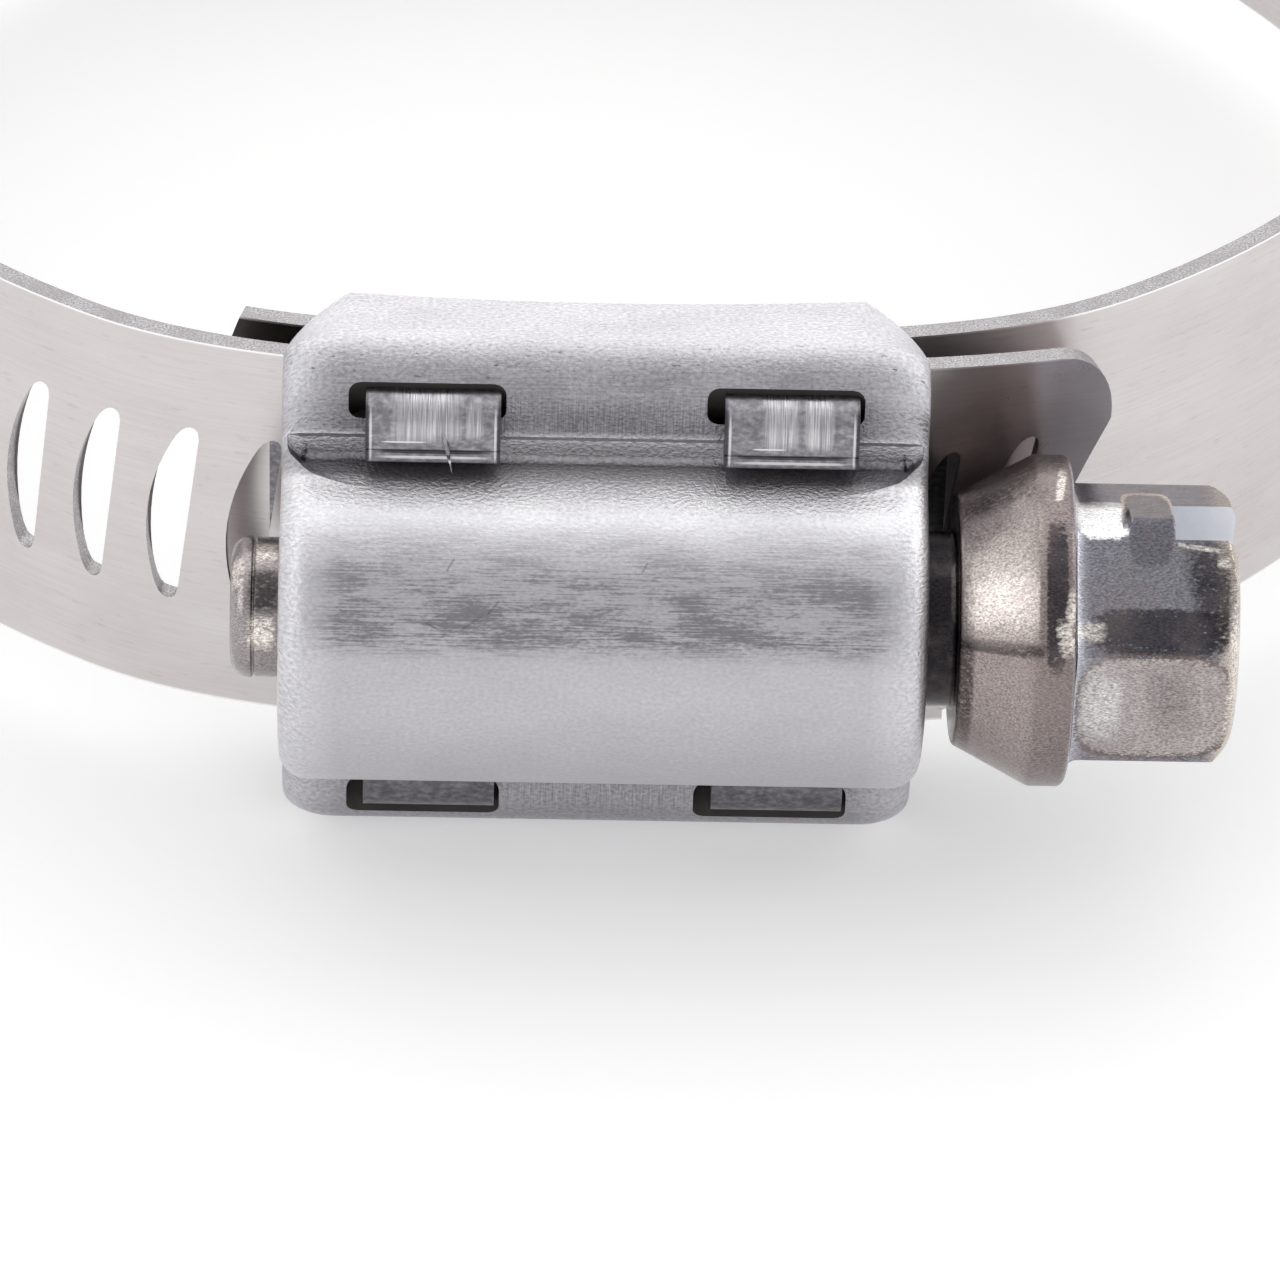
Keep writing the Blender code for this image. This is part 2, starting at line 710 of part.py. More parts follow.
def build_screw(route, material):
    last_slot = route.length_at_x(last_slot_reach, 1)
    middle = route.length_at_x(0.0, 1)
    share = (last_slot - middle) / slot_pitch
    phase_x = (share - round(share)) * slot_pitch + (slot_bow + slot_end_width) / 2 - thread_flank_gap
    phase_x -= thread_root_width / 2
    bm = bmesh.new()
    profile = [
        (-tip_reach, 0.0),
        (-tip_reach, tip_radius - tip_round),
        (-tip_reach + tip_round * 0.25, tip_radius - tip_round * 0.4),
        (-tip_reach + tip_round, tip_radius),
        (-worm_reach - tip_shoulder, tip_radius),
        (-worm_reach, root_radius),
        (worm_reach, root_radius),
        (worm_reach + 0.2, neck_radius),
        (collar_start, neck_radius),
        (collar_start, collar_face_radius - collar_face_round),
        (collar_start + collar_face_round, collar_face_radius),
        (collar_rim_start - collar_round, collar_radius - collar_round / 2),
        (collar_rim_start, collar_radius),
        (hex_start - collar_round, collar_radius),
        (hex_start, collar_radius - collar_round),
        (hex_start, 0.0),
    ]
    turned(bm, profile)
    screw = finish_object("screw", mesh_from_bmesh("screw", bm), material, -screw_offset)
    add_boolean(screw, (worm_thread(phase_x), hex_head()), "UNION")
    add_boolean(screw, (hex_outline_limit(),), "INTERSECT")
    add_boolean(screw, (driver_slot(),), "DIFFERENCE")
    return screw


clear_scene()
strip_route = Route()
build_band(strip_route, make_material("rolled_band_steel", (0.62, 0.60, 0.58), 0.34))
build_saddle(strip_route, make_material("brushed_saddle_steel", (0.60, 0.60, 0.60), 0.30))
build_housing(make_material("blasted_housing_steel", (0.64, 0.63, 0.66), 0.42))
build_screw(strip_route, make_material("headed_screw_steel", (0.40, 0.37, 0.36), 0.30))
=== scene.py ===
import math
from functools import partial

import bpy
import numpy as np
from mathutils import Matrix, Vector


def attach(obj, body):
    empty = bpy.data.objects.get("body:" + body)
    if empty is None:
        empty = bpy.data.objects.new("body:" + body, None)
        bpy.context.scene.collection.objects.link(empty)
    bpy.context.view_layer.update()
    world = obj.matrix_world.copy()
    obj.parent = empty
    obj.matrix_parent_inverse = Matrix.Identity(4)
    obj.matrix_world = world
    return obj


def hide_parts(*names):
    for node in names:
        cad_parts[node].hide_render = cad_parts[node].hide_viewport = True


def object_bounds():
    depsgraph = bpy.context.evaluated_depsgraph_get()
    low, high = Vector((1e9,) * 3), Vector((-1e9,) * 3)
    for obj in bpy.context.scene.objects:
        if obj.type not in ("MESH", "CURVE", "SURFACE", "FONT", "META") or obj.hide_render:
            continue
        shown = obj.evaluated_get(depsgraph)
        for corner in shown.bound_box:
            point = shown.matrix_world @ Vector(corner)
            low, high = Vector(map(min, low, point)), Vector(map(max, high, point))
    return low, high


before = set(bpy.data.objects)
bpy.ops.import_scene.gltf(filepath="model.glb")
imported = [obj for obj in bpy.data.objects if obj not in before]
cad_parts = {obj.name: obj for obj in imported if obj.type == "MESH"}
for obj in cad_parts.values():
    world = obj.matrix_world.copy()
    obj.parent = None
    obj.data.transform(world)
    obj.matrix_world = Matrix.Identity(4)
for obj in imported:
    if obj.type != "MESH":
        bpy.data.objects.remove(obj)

cadLow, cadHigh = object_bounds()
print("frame loaded")

# Lengths are millimetres in the clamp's own frame: x along the screw, -y toward the viewer, z along the hose.
toMetres = 0.001
screwY = -35.0


# mesh helpers

def gridQuads(rows, columns, closed=False):
    # corner numbers of every cell of a grid stored row by row; closed joins the last column to the first
    index = np.arange(rows * columns).reshape(rows, columns)
    if closed:
        index = np.hstack([index, index[:, :1]])
    return np.stack([index[:-1, :-1], index[:-1, 1:], index[1:, 1:], index[1:, :-1]], -1).reshape(-1, 4)


def joinPatches(patches):
    # stacks patches of (points, quads) and merges the points that coincide along their shared borders
    shift, allQuads = 0, []
    for points, quads in patches:
        allQuads.append(quads + shift)
        shift += len(points)
    every = np.round(np.vstack([points for points, quads in patches]), 5)
    merged, index = np.unique(every, axis=0, return_inverse=True)
    return merged, index.reshape(-1)[np.vstack(allQuads)]


def closedTube(points, rings, flip=False):
    # faces of a tube whose rings are stored one after another, with a cap at both ends
    count = len(points) // rings
    ring = np.arange(count)
    faces = gridQuads(rings, count, True).tolist()
    faces += [ring[::-1].tolist(), (ring + len(points) - count).tolist()]
    return [face[::-1] for face in faces] if flip else faces


def thickShell(front, back, quads):
    # two sides on one net of quads and a wall along every free edge: all points, side faces, wall faces
    edges = np.vstack([quads[:, [i, (i + 1) % 4]] for i in range(4)])
    edges = edges[edges[:, 0] != edges[:, 1]]
    first, uses = np.unique(np.sort(edges, 1), axis=0, return_index=True, return_counts=True)[1:]
    rim = edges[first[uses == 1]]
    walls = np.stack([rim[:, 1], rim[:, 0], rim[:, 0] + len(front), rim[:, 1] + len(front)], 1)
    return np.vstack([front, back]), np.vstack([quads, quads[:, ::-1] + len(front)]), walls


def filletPath(corners, steps=5):
    # a line through (a, b, radius) corners, each rounded by an arc of its radius
    corners = np.array(corners, float)
    path = [corners[0, :2]]
    for before, here, after in zip(corners, corners[1:], corners[2:]):
        back, ahead = before[:2] - here[:2], after[:2] - here[:2]
        back, ahead = back / np.linalg.norm(back), ahead / np.linalg.norm(ahead)
        half = math.acos(np.clip(back @ ahead, -1, 1)) / 2
        reach = here[2] / math.tan(half)
        centre = here[:2] + (back + ahead) / np.linalg.norm(back + ahead) * here[2] / math.sin(half)
        start, end = here[:2] + back * reach - centre, here[:2] + ahead * reach - centre
        for t in np.linspace(0, 1, steps + 1):
            spoke = start * (1 - t) + end * t
            path.append(centre + spoke / np.linalg.norm(spoke) * here[2])
    path.append(corners[-1, :2])
    return np.array(path)


def softenEdges(piece, width, segments, angle):
    # rounds every edge sharper than an angle in degrees, by a width in mm
    soften = piece.modifiers.new("softened edges", "BEVEL")
    soften.width, soften.segments = width * toMetres, segments
    soften.limit_method, soften.angle_limit = "ANGLE", math.radians(angle)
    soften.harden_normals, soften.use_clamp_overlap = True, True


def makePiece(name, body, node, points, faces, materials, slots=None, uv=None, bevel=0.05, segments=2):
    # puts numpy points and faces into a mesh in metres, rounds its sharp edges and lets it ride on its body;
    # the faces are turned over where the volume they enclose comes out negative
    points = np.asarray(points)
    faces = faces.tolist() if isinstance(faces, np.ndarray) else faces
    faces = [list(dict.fromkeys(face)) for face in faces]
    triangles = np.array([(face[0], face[i], face[i + 1]) for face in faces for i in range(1, len(face) - 1)])
    a, b, c = (points[triangles[:, i]] for i in range(3))
    if (a * np.cross(b, c)).sum() < 0:
        faces = [face[::-1] for face in faces]
    keep = [i for i, face in enumerate(faces) if len(face) > 2]
    mesh = bpy.data.meshes.new(name)
    mesh.from_pydata((points * toMetres).tolist(), [], [faces[i] for i in keep])
    for material in materials:
        mesh.materials.append(material)
    if slots is not None:
        mesh.polygons.foreach_set("material_index", np.asarray(slots)[keep].astype(np.int32))
    if uv is not None:
        corner = np.zeros(len(mesh.loops), np.int32)
        mesh.loops.foreach_get("vertex_index", corner)
        sheet = mesh.uv_layers.new(name="sheet").data
        sheet.foreach_set("uv", np.asarray(uv)[corner].astype(np.float32).ravel())
    mesh.shade_smooth()
    mesh.update()
    piece = bpy.data.objects.new(name, mesh)
    bpy.context.scene.collection.objects.link(piece)
    if bevel:
        softenEdges(piece, bevel, segments, 34)
    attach(piece, body)
    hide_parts(node)
    print("built", name, len(mesh.polygons), "faces")
    return piece


def hexColour(text):
    # sRGB hex to linear: each part over 255, then the sRGB curve
    parts = [int(text[i:i + 2], 16) / 255 for i in (1, 3, 5)]
    return (*[p / 12.92 if p <= 0.04045 else ((p + 0.055) / 1.055) ** 2.4 for p in parts], 1.0)


def feed(node, values):
    # links or sets a node's inputs; a text is an sRGB hex colour
    for socket, value in dict(values).items():
        if isinstance(value, bpy.types.NodeSocket):
            node.id_data.links.new(value, node.inputs[socket])
        else:
            node.inputs[socket].default_value = hexColour(value) if isinstance(value, str) else value


def addNode(tree, kind, inputs=(), stops=(), out=0, **settings):
    # adds one shader node with its settings, inputs and ramp stops, and gives back one of its outputs
    node = tree.nodes.new("ShaderNode" + kind)
    for key, value in settings.items():
        setattr(node, key, value)
    feed(node, inputs)
    for i, (position, colour, *alpha) in enumerate(stops):
        element = node.color_ramp.elements[i] if i < 2 else node.color_ramp.elements.new(position)
        element.position = position
        element.color = (*hexColour(colour)[:3], *(alpha or (1.0,)))
    return node.outputs[out]


def newMaterial(name, metallic=1.0):
    # an empty material, its own add-node function and its shader
    material = bpy.data.materials.new(name)
    material.use_nodes = True
    shader = material.node_tree.nodes["Principled BSDF"]
    shader.inputs["Metallic"].default_value = metallic
    return material, partial(addNode, material.node_tree), shader


def grainsOf(add, vector, grains):
    # noises by name: coordinates in metres over each grain's real size in mm along every axis
    made = {}
    for name, (size, detail) in grains.items():
        scaled = add("Mapping", {"Vector": vector, "Scale": [1 / toMetres / part for part in size]})
        made[name] = add("TexNoise", {"Vector": scaled, "Scale": 1.0, "Detail": detail, "Roughness": 0.6})
    return made


def marksOf(add, vector, marks):
    # the strongest of several marks, each a (centre, half sizes, turn in degrees) in mm: rounded rectangles,
    # from 1 - sqrt(x^4 + y^4 + z^4), since the local place is squared part by part before its length is taken
    total = 0.0
    for centre, half, turn in marks:
        centre, half = ([part * toMetres for part in parts] for parts in (centre, half))
        local = add("Mapping", {"Vector": vector, "Location": centre, "Rotation": (0, 0, math.radians(turn)),
                                "Scale": half}, vector_type="TEXTURE")
        local = add("VectorMath", {0: local, 1: local}, operation="MULTIPLY")
        mark = add("TexGradient", {"Vector": local}, out=1, gradient_type="SPHERICAL")
        total = add("Math", {0: mark, 1: total}, operation="MAXIMUM")
    return total


def flatMarks(add, vector, marks):
    # marks on a flat sheet, each a (centre, centre, half size, half size, turn)
    return marksOf(add, vector, [((x, y, 0), (wide, tall, 1), turn) for x, y, wide, tall, turn in marks])


def painted(add, colour, layers):
    # lays tones over a colour in order: each where its pattern rises from low to high, up to its amount
    for pattern, low, high, amount, tone in layers:
        share = add("MapRange", {0: pattern, 1: low, 2: high, 4: amount})
        colour = add("Mix", {0: share, 6: colour, 7: tone}, out=2, data_type="RGBA")
    return colour


def reliefOf(add, parts):
    # one bump whose height is the sum of several (pattern, depth in mm)
    height = 0.0
    for pattern, depth in parts:
        height = add("Math", {0: pattern, 1: depth, 2: height}, operation="MULTIPLY_ADD")
    return add("Bump", {"Height": height, "Distance": toMetres, "Strength": 1.0})


# camera, settled first because every piece was fitted to this view

cameraSet = dict(
    elevation=34.75, yaw=1.42, roll=1.81, distance=260.0, photoPixels=1280, focalPixels=7846.0, sensor=36.0,
    aimX=1.28, aimUp=-0.91)


def makeCamera(s):
    # looks down by the elevation at the screw's middle; the aim then shifts it sideways and up in its plane
    e, yaw, roll = (math.radians(s[k]) for k in ("elevation", "yaw", "roll"))
    forward = np.array([math.sin(yaw) * math.cos(e), math.cos(yaw) * math.cos(e), -math.sin(e)])
    right = np.array([math.cos(yaw), -math.sin(yaw), 0.0])
    up = np.cross(right, forward)
    right, up = (math.cos(roll) * right + math.sin(roll) * up,
                 math.cos(roll) * up - math.sin(roll) * right)
    place = s["aimX"] * right + s["aimUp"] * up - s["distance"] * forward + np.array([0.0, screwY, 0.0])
    camera = bpy.data.objects.new("camera", bpy.data.cameras.new("camera"))
    camera.data.lens = s["focalPixels"] / s["photoPixels"] * s["sensor"]
    camera.data.sensor_width = s["sensor"]
    camera.data.clip_start, camera.data.clip_end = 0.01, 10.0
    bpy.context.scene.collection.objects.link(camera)
    matrix = np.eye(4)
    matrix[:3] = np.stack([right, up, -forward, place * toMetres], 1)
    camera.matrix_world = matrix.T.tolist()
    bpy.context.scene.camera = camera


makeCamera(cameraSet)
print("camera set")


# the strip's route: a slow spiral that flattens onto a shallow arc under the screw

strip = dict(
    width=14.29, thickness=0.7, faceDrop=0.005, loopRadius=30.75, turnRise=1.9, tailSpring=0.7,
    tailSpringAngle=20.0, seatArcRadius=95.0, seatDepth=3.55, fixedDepth=6.15, blendWidth=1.6, seatAngle=60.0,
    pressStart=10.6, pressEnd=14.2, pressTo=5.7, routeStart=-40, routeEnd=400, routeSteps=6000)
halfWidth = strip["width"] / 2


def innerRadius(angle):
    # radius of the strip's inner face: the spiral's is loop radius + rise * turns, with a little more past
    # the screw, and near the screw it is the smaller of that and the ray to the seat arc, blended by a
    # parabola
    s = strip
    turn = np.round(angle / (2 * np.pi))
    local = angle - 2 * np.pi * turn
    spiral = s["loopRadius"] + s["turnRise"] * angle / (2 * np.pi)
    spring = s["tailSpring"] * local / math.radians(s["tailSpringAngle"])
    spiral = spiral + np.where((turn == 1) & (local > 0), spring, 0.0)
    depth = np.where(turn == 0, s["fixedDepth"], s["seatDepth"] + s["thickness"])
    radius = s["seatArcRadius"] - (depth - s["seatDepth"])
    behind = -screwY - depth - radius
    along = -behind * np.cos(local)
    ray = -along + np.sqrt(along ** 2 - behind ** 2 + radius ** 2)
    near = np.maximum(s["blendWidth"] - np.abs(spiral - ray), 0) / s["blendWidth"]
    flattened = np.minimum(spiral, ray) - near ** 2 * s["blendWidth"] / 4
    return np.where(np.abs(local) > math.radians(s["seatAngle"]), spiral, flattened)


# the route in fine steps: its inner face, its outward normals and the length along its middle
routeAngles = np.radians(np.linspace(strip["routeStart"], strip["routeEnd"], strip["routeSteps"]))
routeRadii = innerRadius(routeAngles)
routePoints = np.stack([routeRadii * np.sin(routeAngles), -routeRadii * np.cos(routeAngles)], 1)
routeStride = np.gradient(routePoints, axis=0)
routeNormals = np.stack([routeStride[:, 1], -routeStride[:, 0]], 1)
routeNormals = routeNormals / np.linalg.norm(routeStride, axis=1)[:, None]
routeMiddle = routePoints + routeNormals * strip["thickness"] / 2
routeLengths = np.concatenate([[0.0], np.cumsum(np.linalg.norm(np.diff(routeMiddle, axis=0), axis=1))])


def onRoute(length, height):
    # x and y at a length along the strip and a height above its inner face
    x, y = (np.interp(length, routeLengths, routePoints[:, i]) for i in (0, 1))
    nx, ny = (np.interp(length, routeLengths, routeNormals[:, i]) for i in (0, 1))
    size = np.hypot(nx, ny)
    return x + nx * height / size, y + ny * height / size


def lengthAtX(x, turn):
    # length along the strip at an x near the screw, on the first pass (turn 0) or the second (turn 1)
    near = np.abs(routeAngles - 2 * np.pi * turn) < math.radians(40)
    return float(np.interp(x, routePoints[near, 0], routeLengths[near]))


# band

band = dict(
    tabReach=12.0, tabBow=1.3, tailReach=17.0, tailSlant=22.0, tailCornerLength=2.1, tailCornerHeight=3.1,
    tailMargin=0.3, tailSteps=9, pitch=2.83, slots=34, slotLength=7.1, slotBow=0.86, slotEndWidth=0.6,
    slotTipLength=0.42, closeLeft=0.45, closeRight=0.55, slotLean=7.3, slotRise=0.15, lastSlot=13.52,
    slotFrame=0.4, tipStart=0.95, tipMiddle=0.985, rowBend=1.2, slotRows=15, borderRows=10, plainStep=0.85,
    breakOut=0.24, breakOutSide=0.12, onEdge=0.02, insideShift=40.0, edgeSoftness=0.045)


def leanOf(z):
    # how far a slot's middle line has moved along the strip at a height: a straight lean, constant past the
    # tips
    reach = band["slotLength"] / 2
    return math.tan(math.radians(band["slotLean"])) * np.clip(z, -reach, reach)


def firstCell():
    # length at which the first slot's cell begins, counted back from the last slot beside the housing
    return lengthAtX(band["lastSlot"], 1) - (band["slots"] - 0.5) * band["pitch"]


def tailLimit(z, tip):
    # the tail's end: a straight slanted cut whose two corners are quarter ellipses
    b = band
    run, rise = b["tailCornerLength"], b["tailCornerHeight"]
    apex = halfWidth - rise
    slant = math.tan(math.radians(b["tailSlant"]))
    cut = (apex - np.minimum(z, apex)) * slant
    high = np.clip((z - apex) / rise, 0, 1)
    low = np.clip((-halfWidth + rise - z) / rise, 0, 1)
    return tip - cut - run * (2 - np.sqrt(1 - high ** 2) - np.sqrt(1 - low ** 2))


def slotEdges(share):
    # left and right edge of a slot at a share -1..1 of its half length: a side bowed as a parabola and a
    # straight one, drawn together at both tips as quarter ellipses
    b = band
    half = b["slotLength"] / 2
    into = np.clip((np.abs(share) * half - (half - b["slotTipLength"])) / b["slotTipLength"], 0, 1)
    closing = 1 - np.sqrt(1 - into ** 2)
    right = (b["slotBow"] + b["slotEndWidth"]) / 2
    left = right - b["slotEndWidth"] - b["slotBow"] * (1 - share ** 2)
    return (left + b["closeLeft"] * b["slotEndWidth"] * closing,
            right - b["closeRight"] * b["slotEndWidth"] * closing)


def loft(near, far, rows, shares):
    # straight lines from one border to the other, at the given shares of the way
    along = near[None, :] * (1 - shares[:, None]) + far[None, :] * shares[:, None]
    points = np.stack([along, np.broadcast_to(rows, along.shape)], -1).reshape(-1, 2)
    return points, gridQuads(len(shares), len(rows))


def slottedCell(shares, sideRows, across):
    # one cell of the pattern: rings that shrink from its leaning border to the slot's outline
    b = band
    half = b["slotLength"] / 2
    tipShares = np.array([b["tipStart"], b["tipMiddle"], 1.0, b["tipMiddle"], b["tipStart"]])
    tipLeft, tipRight = slotEdges(tipShares)
    tipX = np.append(tipLeft[:3], tipRight[3:])
    leftSide, rightSide = (np.stack([edge, shares * half], 1) for edge in slotEdges(shares))
    upperTip, lowerTip = (np.stack([tipX, side * tipShares * half], 1) for side in (1, -1))
    rim = np.concatenate([leftSide[:-1], upperTip[:-1], rightSide[:0:-1], lowerTip[:0:-1]])
    rim[:, 1] += b["slotRise"]
    rim[:, 0] += leanOf(rim[:, 1] - b["slotRise"]) + b["pitch"] / 2
    left, right = (np.stack([np.full(len(sideRows), x), sideRows], 1) for x in (0.0, b["pitch"]))
    bottom, top = (np.stack([across * b["pitch"], np.full(len(across), z)], 1) for z in sideRows[[0, -1]])
    border = np.concatenate([left[:-1], top[:-1], right[:0:-1], bottom[:0:-1]])
    border[:, 0] += leanOf(border[:, 1] - b["slotRise"])
    ringShares = np.array([0.0, 0.45, 0.8, 1.0])[:, None, None]
    rings = border * (1 - ringShares) + rim * ringShares
    return rings.reshape(-1, 2), gridQuads(len(ringShares), len(rim), True)


def bandPattern():
    # the flat strip as (length, z) patches: plain part, slotted cells and tail, which share their border
    # points. Rows crowd toward the slots' tips and the borders as a sine does; the fixed end is bowed as a
    # parabola.
    b = band
    start, tip, firstEdge = lengthAtX(-b["tabReach"], 0), lengthAtX(b["tailReach"], 1), firstCell()
    frameZ = b["slotLength"] / 2 + b["slotFrame"]
    bend = b["rowBend"]
    shares = np.sin(np.linspace(-bend, bend, b["slotRows"])) / math.sin(bend) * b["tipStart"]
    sideRows = shares / b["tipStart"] * frameZ + b["slotRise"]
    quarter = np.linspace(0, np.pi / 2, b["borderRows"])
    upperRows = sideRows[-1] + (halfWidth - sideRows[-1]) * np.sin(quarter)
    lowerRows = -halfWidth + (sideRows[0] + halfWidth) * (1 - np.cos(quarter))
    allRows = np.concatenate([lowerRows[:-1], sideRows, upperRows[1:]])
    leaning = leanOf(allRows - b["slotRise"])
    across = np.linspace(0, 1, 5)

    tabEnd = start - b["tabBow"] * (1 - (allRows / halfWidth) ** 2)
    plainShares = np.linspace(0, 1, int((firstEdge - start) / b["plainStep"]))
    patches = [loft(tabEnd, firstEdge + leaning, allRows, plainShares)]
    cell, cellQuads = slottedCell(shares, sideRows, across)
    limit = tailLimit(allRows, tip) - b["tailMargin"]
    for i in range(b["slots"]):
        shift = firstEdge + i * b["pitch"]
        patches.append((cell + [shift, 0], cellQuads))
        for rows in (lowerRows, upperRows):
            near = shift + leanOf(rows - b["slotRise"])
            far = near + b["pitch"]
            if i == b["slots"] - 1:
                far = np.minimum(far, np.interp(rows, allRows, limit))
            patches.append(loft(near, far, rows, across))
    last = np.minimum(firstEdge + b["slots"] * b["pitch"] + leaning, limit)
    patches.append(loft(last, tailLimit(allRows, tip), allRows, np.linspace(0, 1, b["tailSteps"])))
    return joinPatches(patches)


def brokenOut(flat):
    # on the inside of the loop the punch broke the slots out wider, most of all along their bowed side
    b = band
    half, z = b["slotLength"] / 2, flat[:, 1] - b["slotRise"]
    cell = (flat[:, 0] - leanOf(z) - firstCell()) / b["pitch"]
    local = (cell - np.floor(cell) - 0.5) * b["pitch"]
    left, right = slotEdges(np.clip(z / half, -1, 1))
    within = (np.abs(z) < half - b["onEdge"]) & (cell > 0) & (cell < b["slots"])
    widened = flat.copy()
    widened[within & (np.abs(local - left) < b["onEdge"]), 0] -= b["breakOut"]
    widened[within & (np.abs(local - right) < b["onEdge"]), 0] += b["breakOutSide"]
    return widened


def bendStrip(flat, height):
    # carries (length, z) onto the route; the tail's middle bows back where the collar's rim presses it,
    # rising as the cubic 3t^2 - 2t^3 along the strip and falling as a parabola across it
    start, end = lengthAtX(strip["pressStart"], 1), lengthAtX(strip["pressEnd"], 1)
    rimY = onRoute(end, strip["thickness"])[1]
    press = max(strip["pressTo"] - (rimY - screwY), 0)
    share = np.clip((flat[:, 0] - start) / (end - start), 0, 1)
    bow = press * share ** 2 * (3 - 2 * share) * (1 - (flat[:, 1] / halfWidth) ** 2)
    x, y = onRoute(flat[:, 0], height - bow)
    return np.stack([x, y, flat[:, 1]], 1)


def buildBand(materials):
    # the flat pattern bent twice, as the outer and the inner face, with cut walls along every border. A
    # point's texture place is its own (length, z) on the sheet, and the inner face's is insideShift further
    # in z.
    flat, quads = bandPattern()
    front, back = bendStrip(flat, strip["thickness"] - strip["faceDrop"]), bendStrip(brokenOut(flat), 0.0)
    points, faces, walls = thickShell(front, back, quads)
    slots = np.concatenate([np.zeros(len(faces)), np.ones(len(walls))])
    uv = np.vstack([flat, flat + [0, band["insideShift"]]]) * toMetres
    return makePiece("slotted_band", "clamp", "band", points, np.vstack([faces, walls]), materials, slots, uv,
                     band["edgeSoftness"])


# saddle

saddle = dict(
    thickness=0.8, reach=11.0, shift=0.2, gap=0.2, shoulder=9.2, endWidth=9.6, edgeReach=7.465,
    shoulderRun=0.5, columns=13, endStations=4, middleStations=41, lugStations=9, lugWidth=4.4,
    lugCentre=5.85, lugOuter=8.345, lugFront=-0.66, lugLength=2.15, rootCorner=0.88, foldCorner=1.1,
    lugRoot=7.205, lowerInset=0.18, lowerDrop=0.16, creaseHeight=0.46, creaseWidth=0.12, creaseDepth=0.08,
    noseCorner=0.2, sliver=((-5.36, -0.62, 7.46), (-5.16, -0.82, 6.85), (-5.02, -1.0, 6.12)),
    sliverRadius=0.075, sliverRings=9, sliverSides=6, edgeSoftness=0.1)


def saddlePlate(s):
    # the strip's route at the plate's two heights, narrower past its shoulders
    first, last = (lengthAtX(s["shift"] + side * s["reach"], 0) for side in (-1, 1))
    neck = s["shoulder"] + s["shoulderRun"]
    along = np.concatenate([
        np.linspace(-s["reach"], -neck, s["endStations"]),
        np.linspace(-s["shoulder"], s["shoulder"], s["middleStations"]),
        np.linspace(neck, s["reach"], s["endStations"])])
    width = np.where(np.abs(along) > s["shoulder"] + 0.01, s["endWidth"] / 2, s["edgeReach"])
    length = (first + last) / 2 + along * (last - first) / 2 / s["reach"]
    across = np.linspace(-1, 1, s["columns"])
    flat = np.stack([np.repeat(length, s["columns"]), (width[:, None] * across).ravel()], 1)
    sides = []
    for height in (strip["thickness"] + s["gap"] + s["thickness"], strip["thickness"] + s["gap"]):
        x, y = onRoute(flat[:, 0], height)
        sides.append(np.stack([x, y, flat[:, 1]], 1))
    points, faces, walls = thickShell(*sides, gridQuads(len(along), s["columns"]))
    return points, np.vstack([faces, walls]).tolist()


def lugSection(s, inset, drop):
    # closed section in (depth behind the screw axis, z): out of the plate, forward through the window, over
    # and down, with a crease left by the folding tool just above its rounded nose
    root, t = strip["seatDepth"] + strip["thickness"] + s["gap"] + s["thickness"], s["thickness"]
    top, front = s["lugOuter"] - inset, s["lugFront"] + drop
    end = top - s["lugLength"]
    crease, run, cut = end + s["creaseHeight"], s["creaseWidth"], s["creaseDepth"]
    nose = front - cut / 3
    outer = filletPath([
        (root, s["lugRoot"], 0), (root, top, s["rootCorner"]), (front, top, s["foldCorner"]),
        (front, crease + run, 0.06), (front + cut, crease, 0.04), (nose, crease - run, 0.06),
        (nose, end, s["noseCorner"]), (front + t, end, 0)], 6)
    inner = filletPath([
        (front + t, end + 0.02, 0), (front + t, top - t, s["foldCorner"] - t),
        (root - t, top - t, s["rootCorner"] - t), (root - t, s["lugRoot"], 0)], 5)
    return np.vstack([outer, inner])


def sliverTube(s):
    # metal that the folding tool tore up on the left lug: a thin flat tube along a quadratic Bezier curve,
    # whose thickness falls as a sine toward its tip
    start, bend, tip = np.array(s["sliver"])
    share = np.linspace(0, 1, s["sliverRings"])[:, None]
    path = (1 - share) ** 2 * start + 2 * share * (1 - share) * bend + share ** 2 * tip
    turn = np.linspace(0, 2 * math.pi, s["sliverSides"], endpoint=False)
    thick = s["sliverRadius"] * np.maximum(np.sin(math.pi * (0.2 + 0.8 * share)), 0.12)
    ring = thick[:, :, None] * np.stack([np.cos(turn), np.sin(turn) * 0.7, np.sin(turn) * 0.3], 1)
    return (path[:, None] + ring).reshape(-1, 3) + [0, screwY, 0]


def buildSaddle(materials):
    # the plate, four lugs drawn straight along x from their section, and the sliver
    s = saddle
    parts, count = [saddlePlate(s)], s["lugStations"]
    for side, inset, drop in ((1, 0.0, 0.0), (-1, s["lowerInset"], s["lowerDrop"])):
        section = lugSection(s, inset, drop)
        for middle in (-s["lugCentre"], s["lugCentre"]):
            stations = s["shift"] + middle + np.linspace(-0.5, 0.5, count) * s["lugWidth"]
            depth, z = (np.tile(section[:, i], count) for i in (0, 1))
            lug = np.stack([np.repeat(stations, len(section)), depth + screwY, side * z], 1)
            parts.append((lug, closedTube(lug, count, side > 0)))
    tube = sliverTube(s)
    parts.append((tube, closedTube(tube, s["sliverRings"])))
    shifts = np.cumsum([0] + [len(points) for points, faces in parts])
    allFaces = [[i + shift for i in face] for shift, (points, faces) in zip(shifts, parts) for face in faces]
    allPoints = np.vstack([points for points, faces in parts])
    return makePiece("saddle_with_lugs", "clamp", "saddle", allPoints, allFaces, materials,
                     bevel=s["edgeSoftness"], segments=3)


# housing

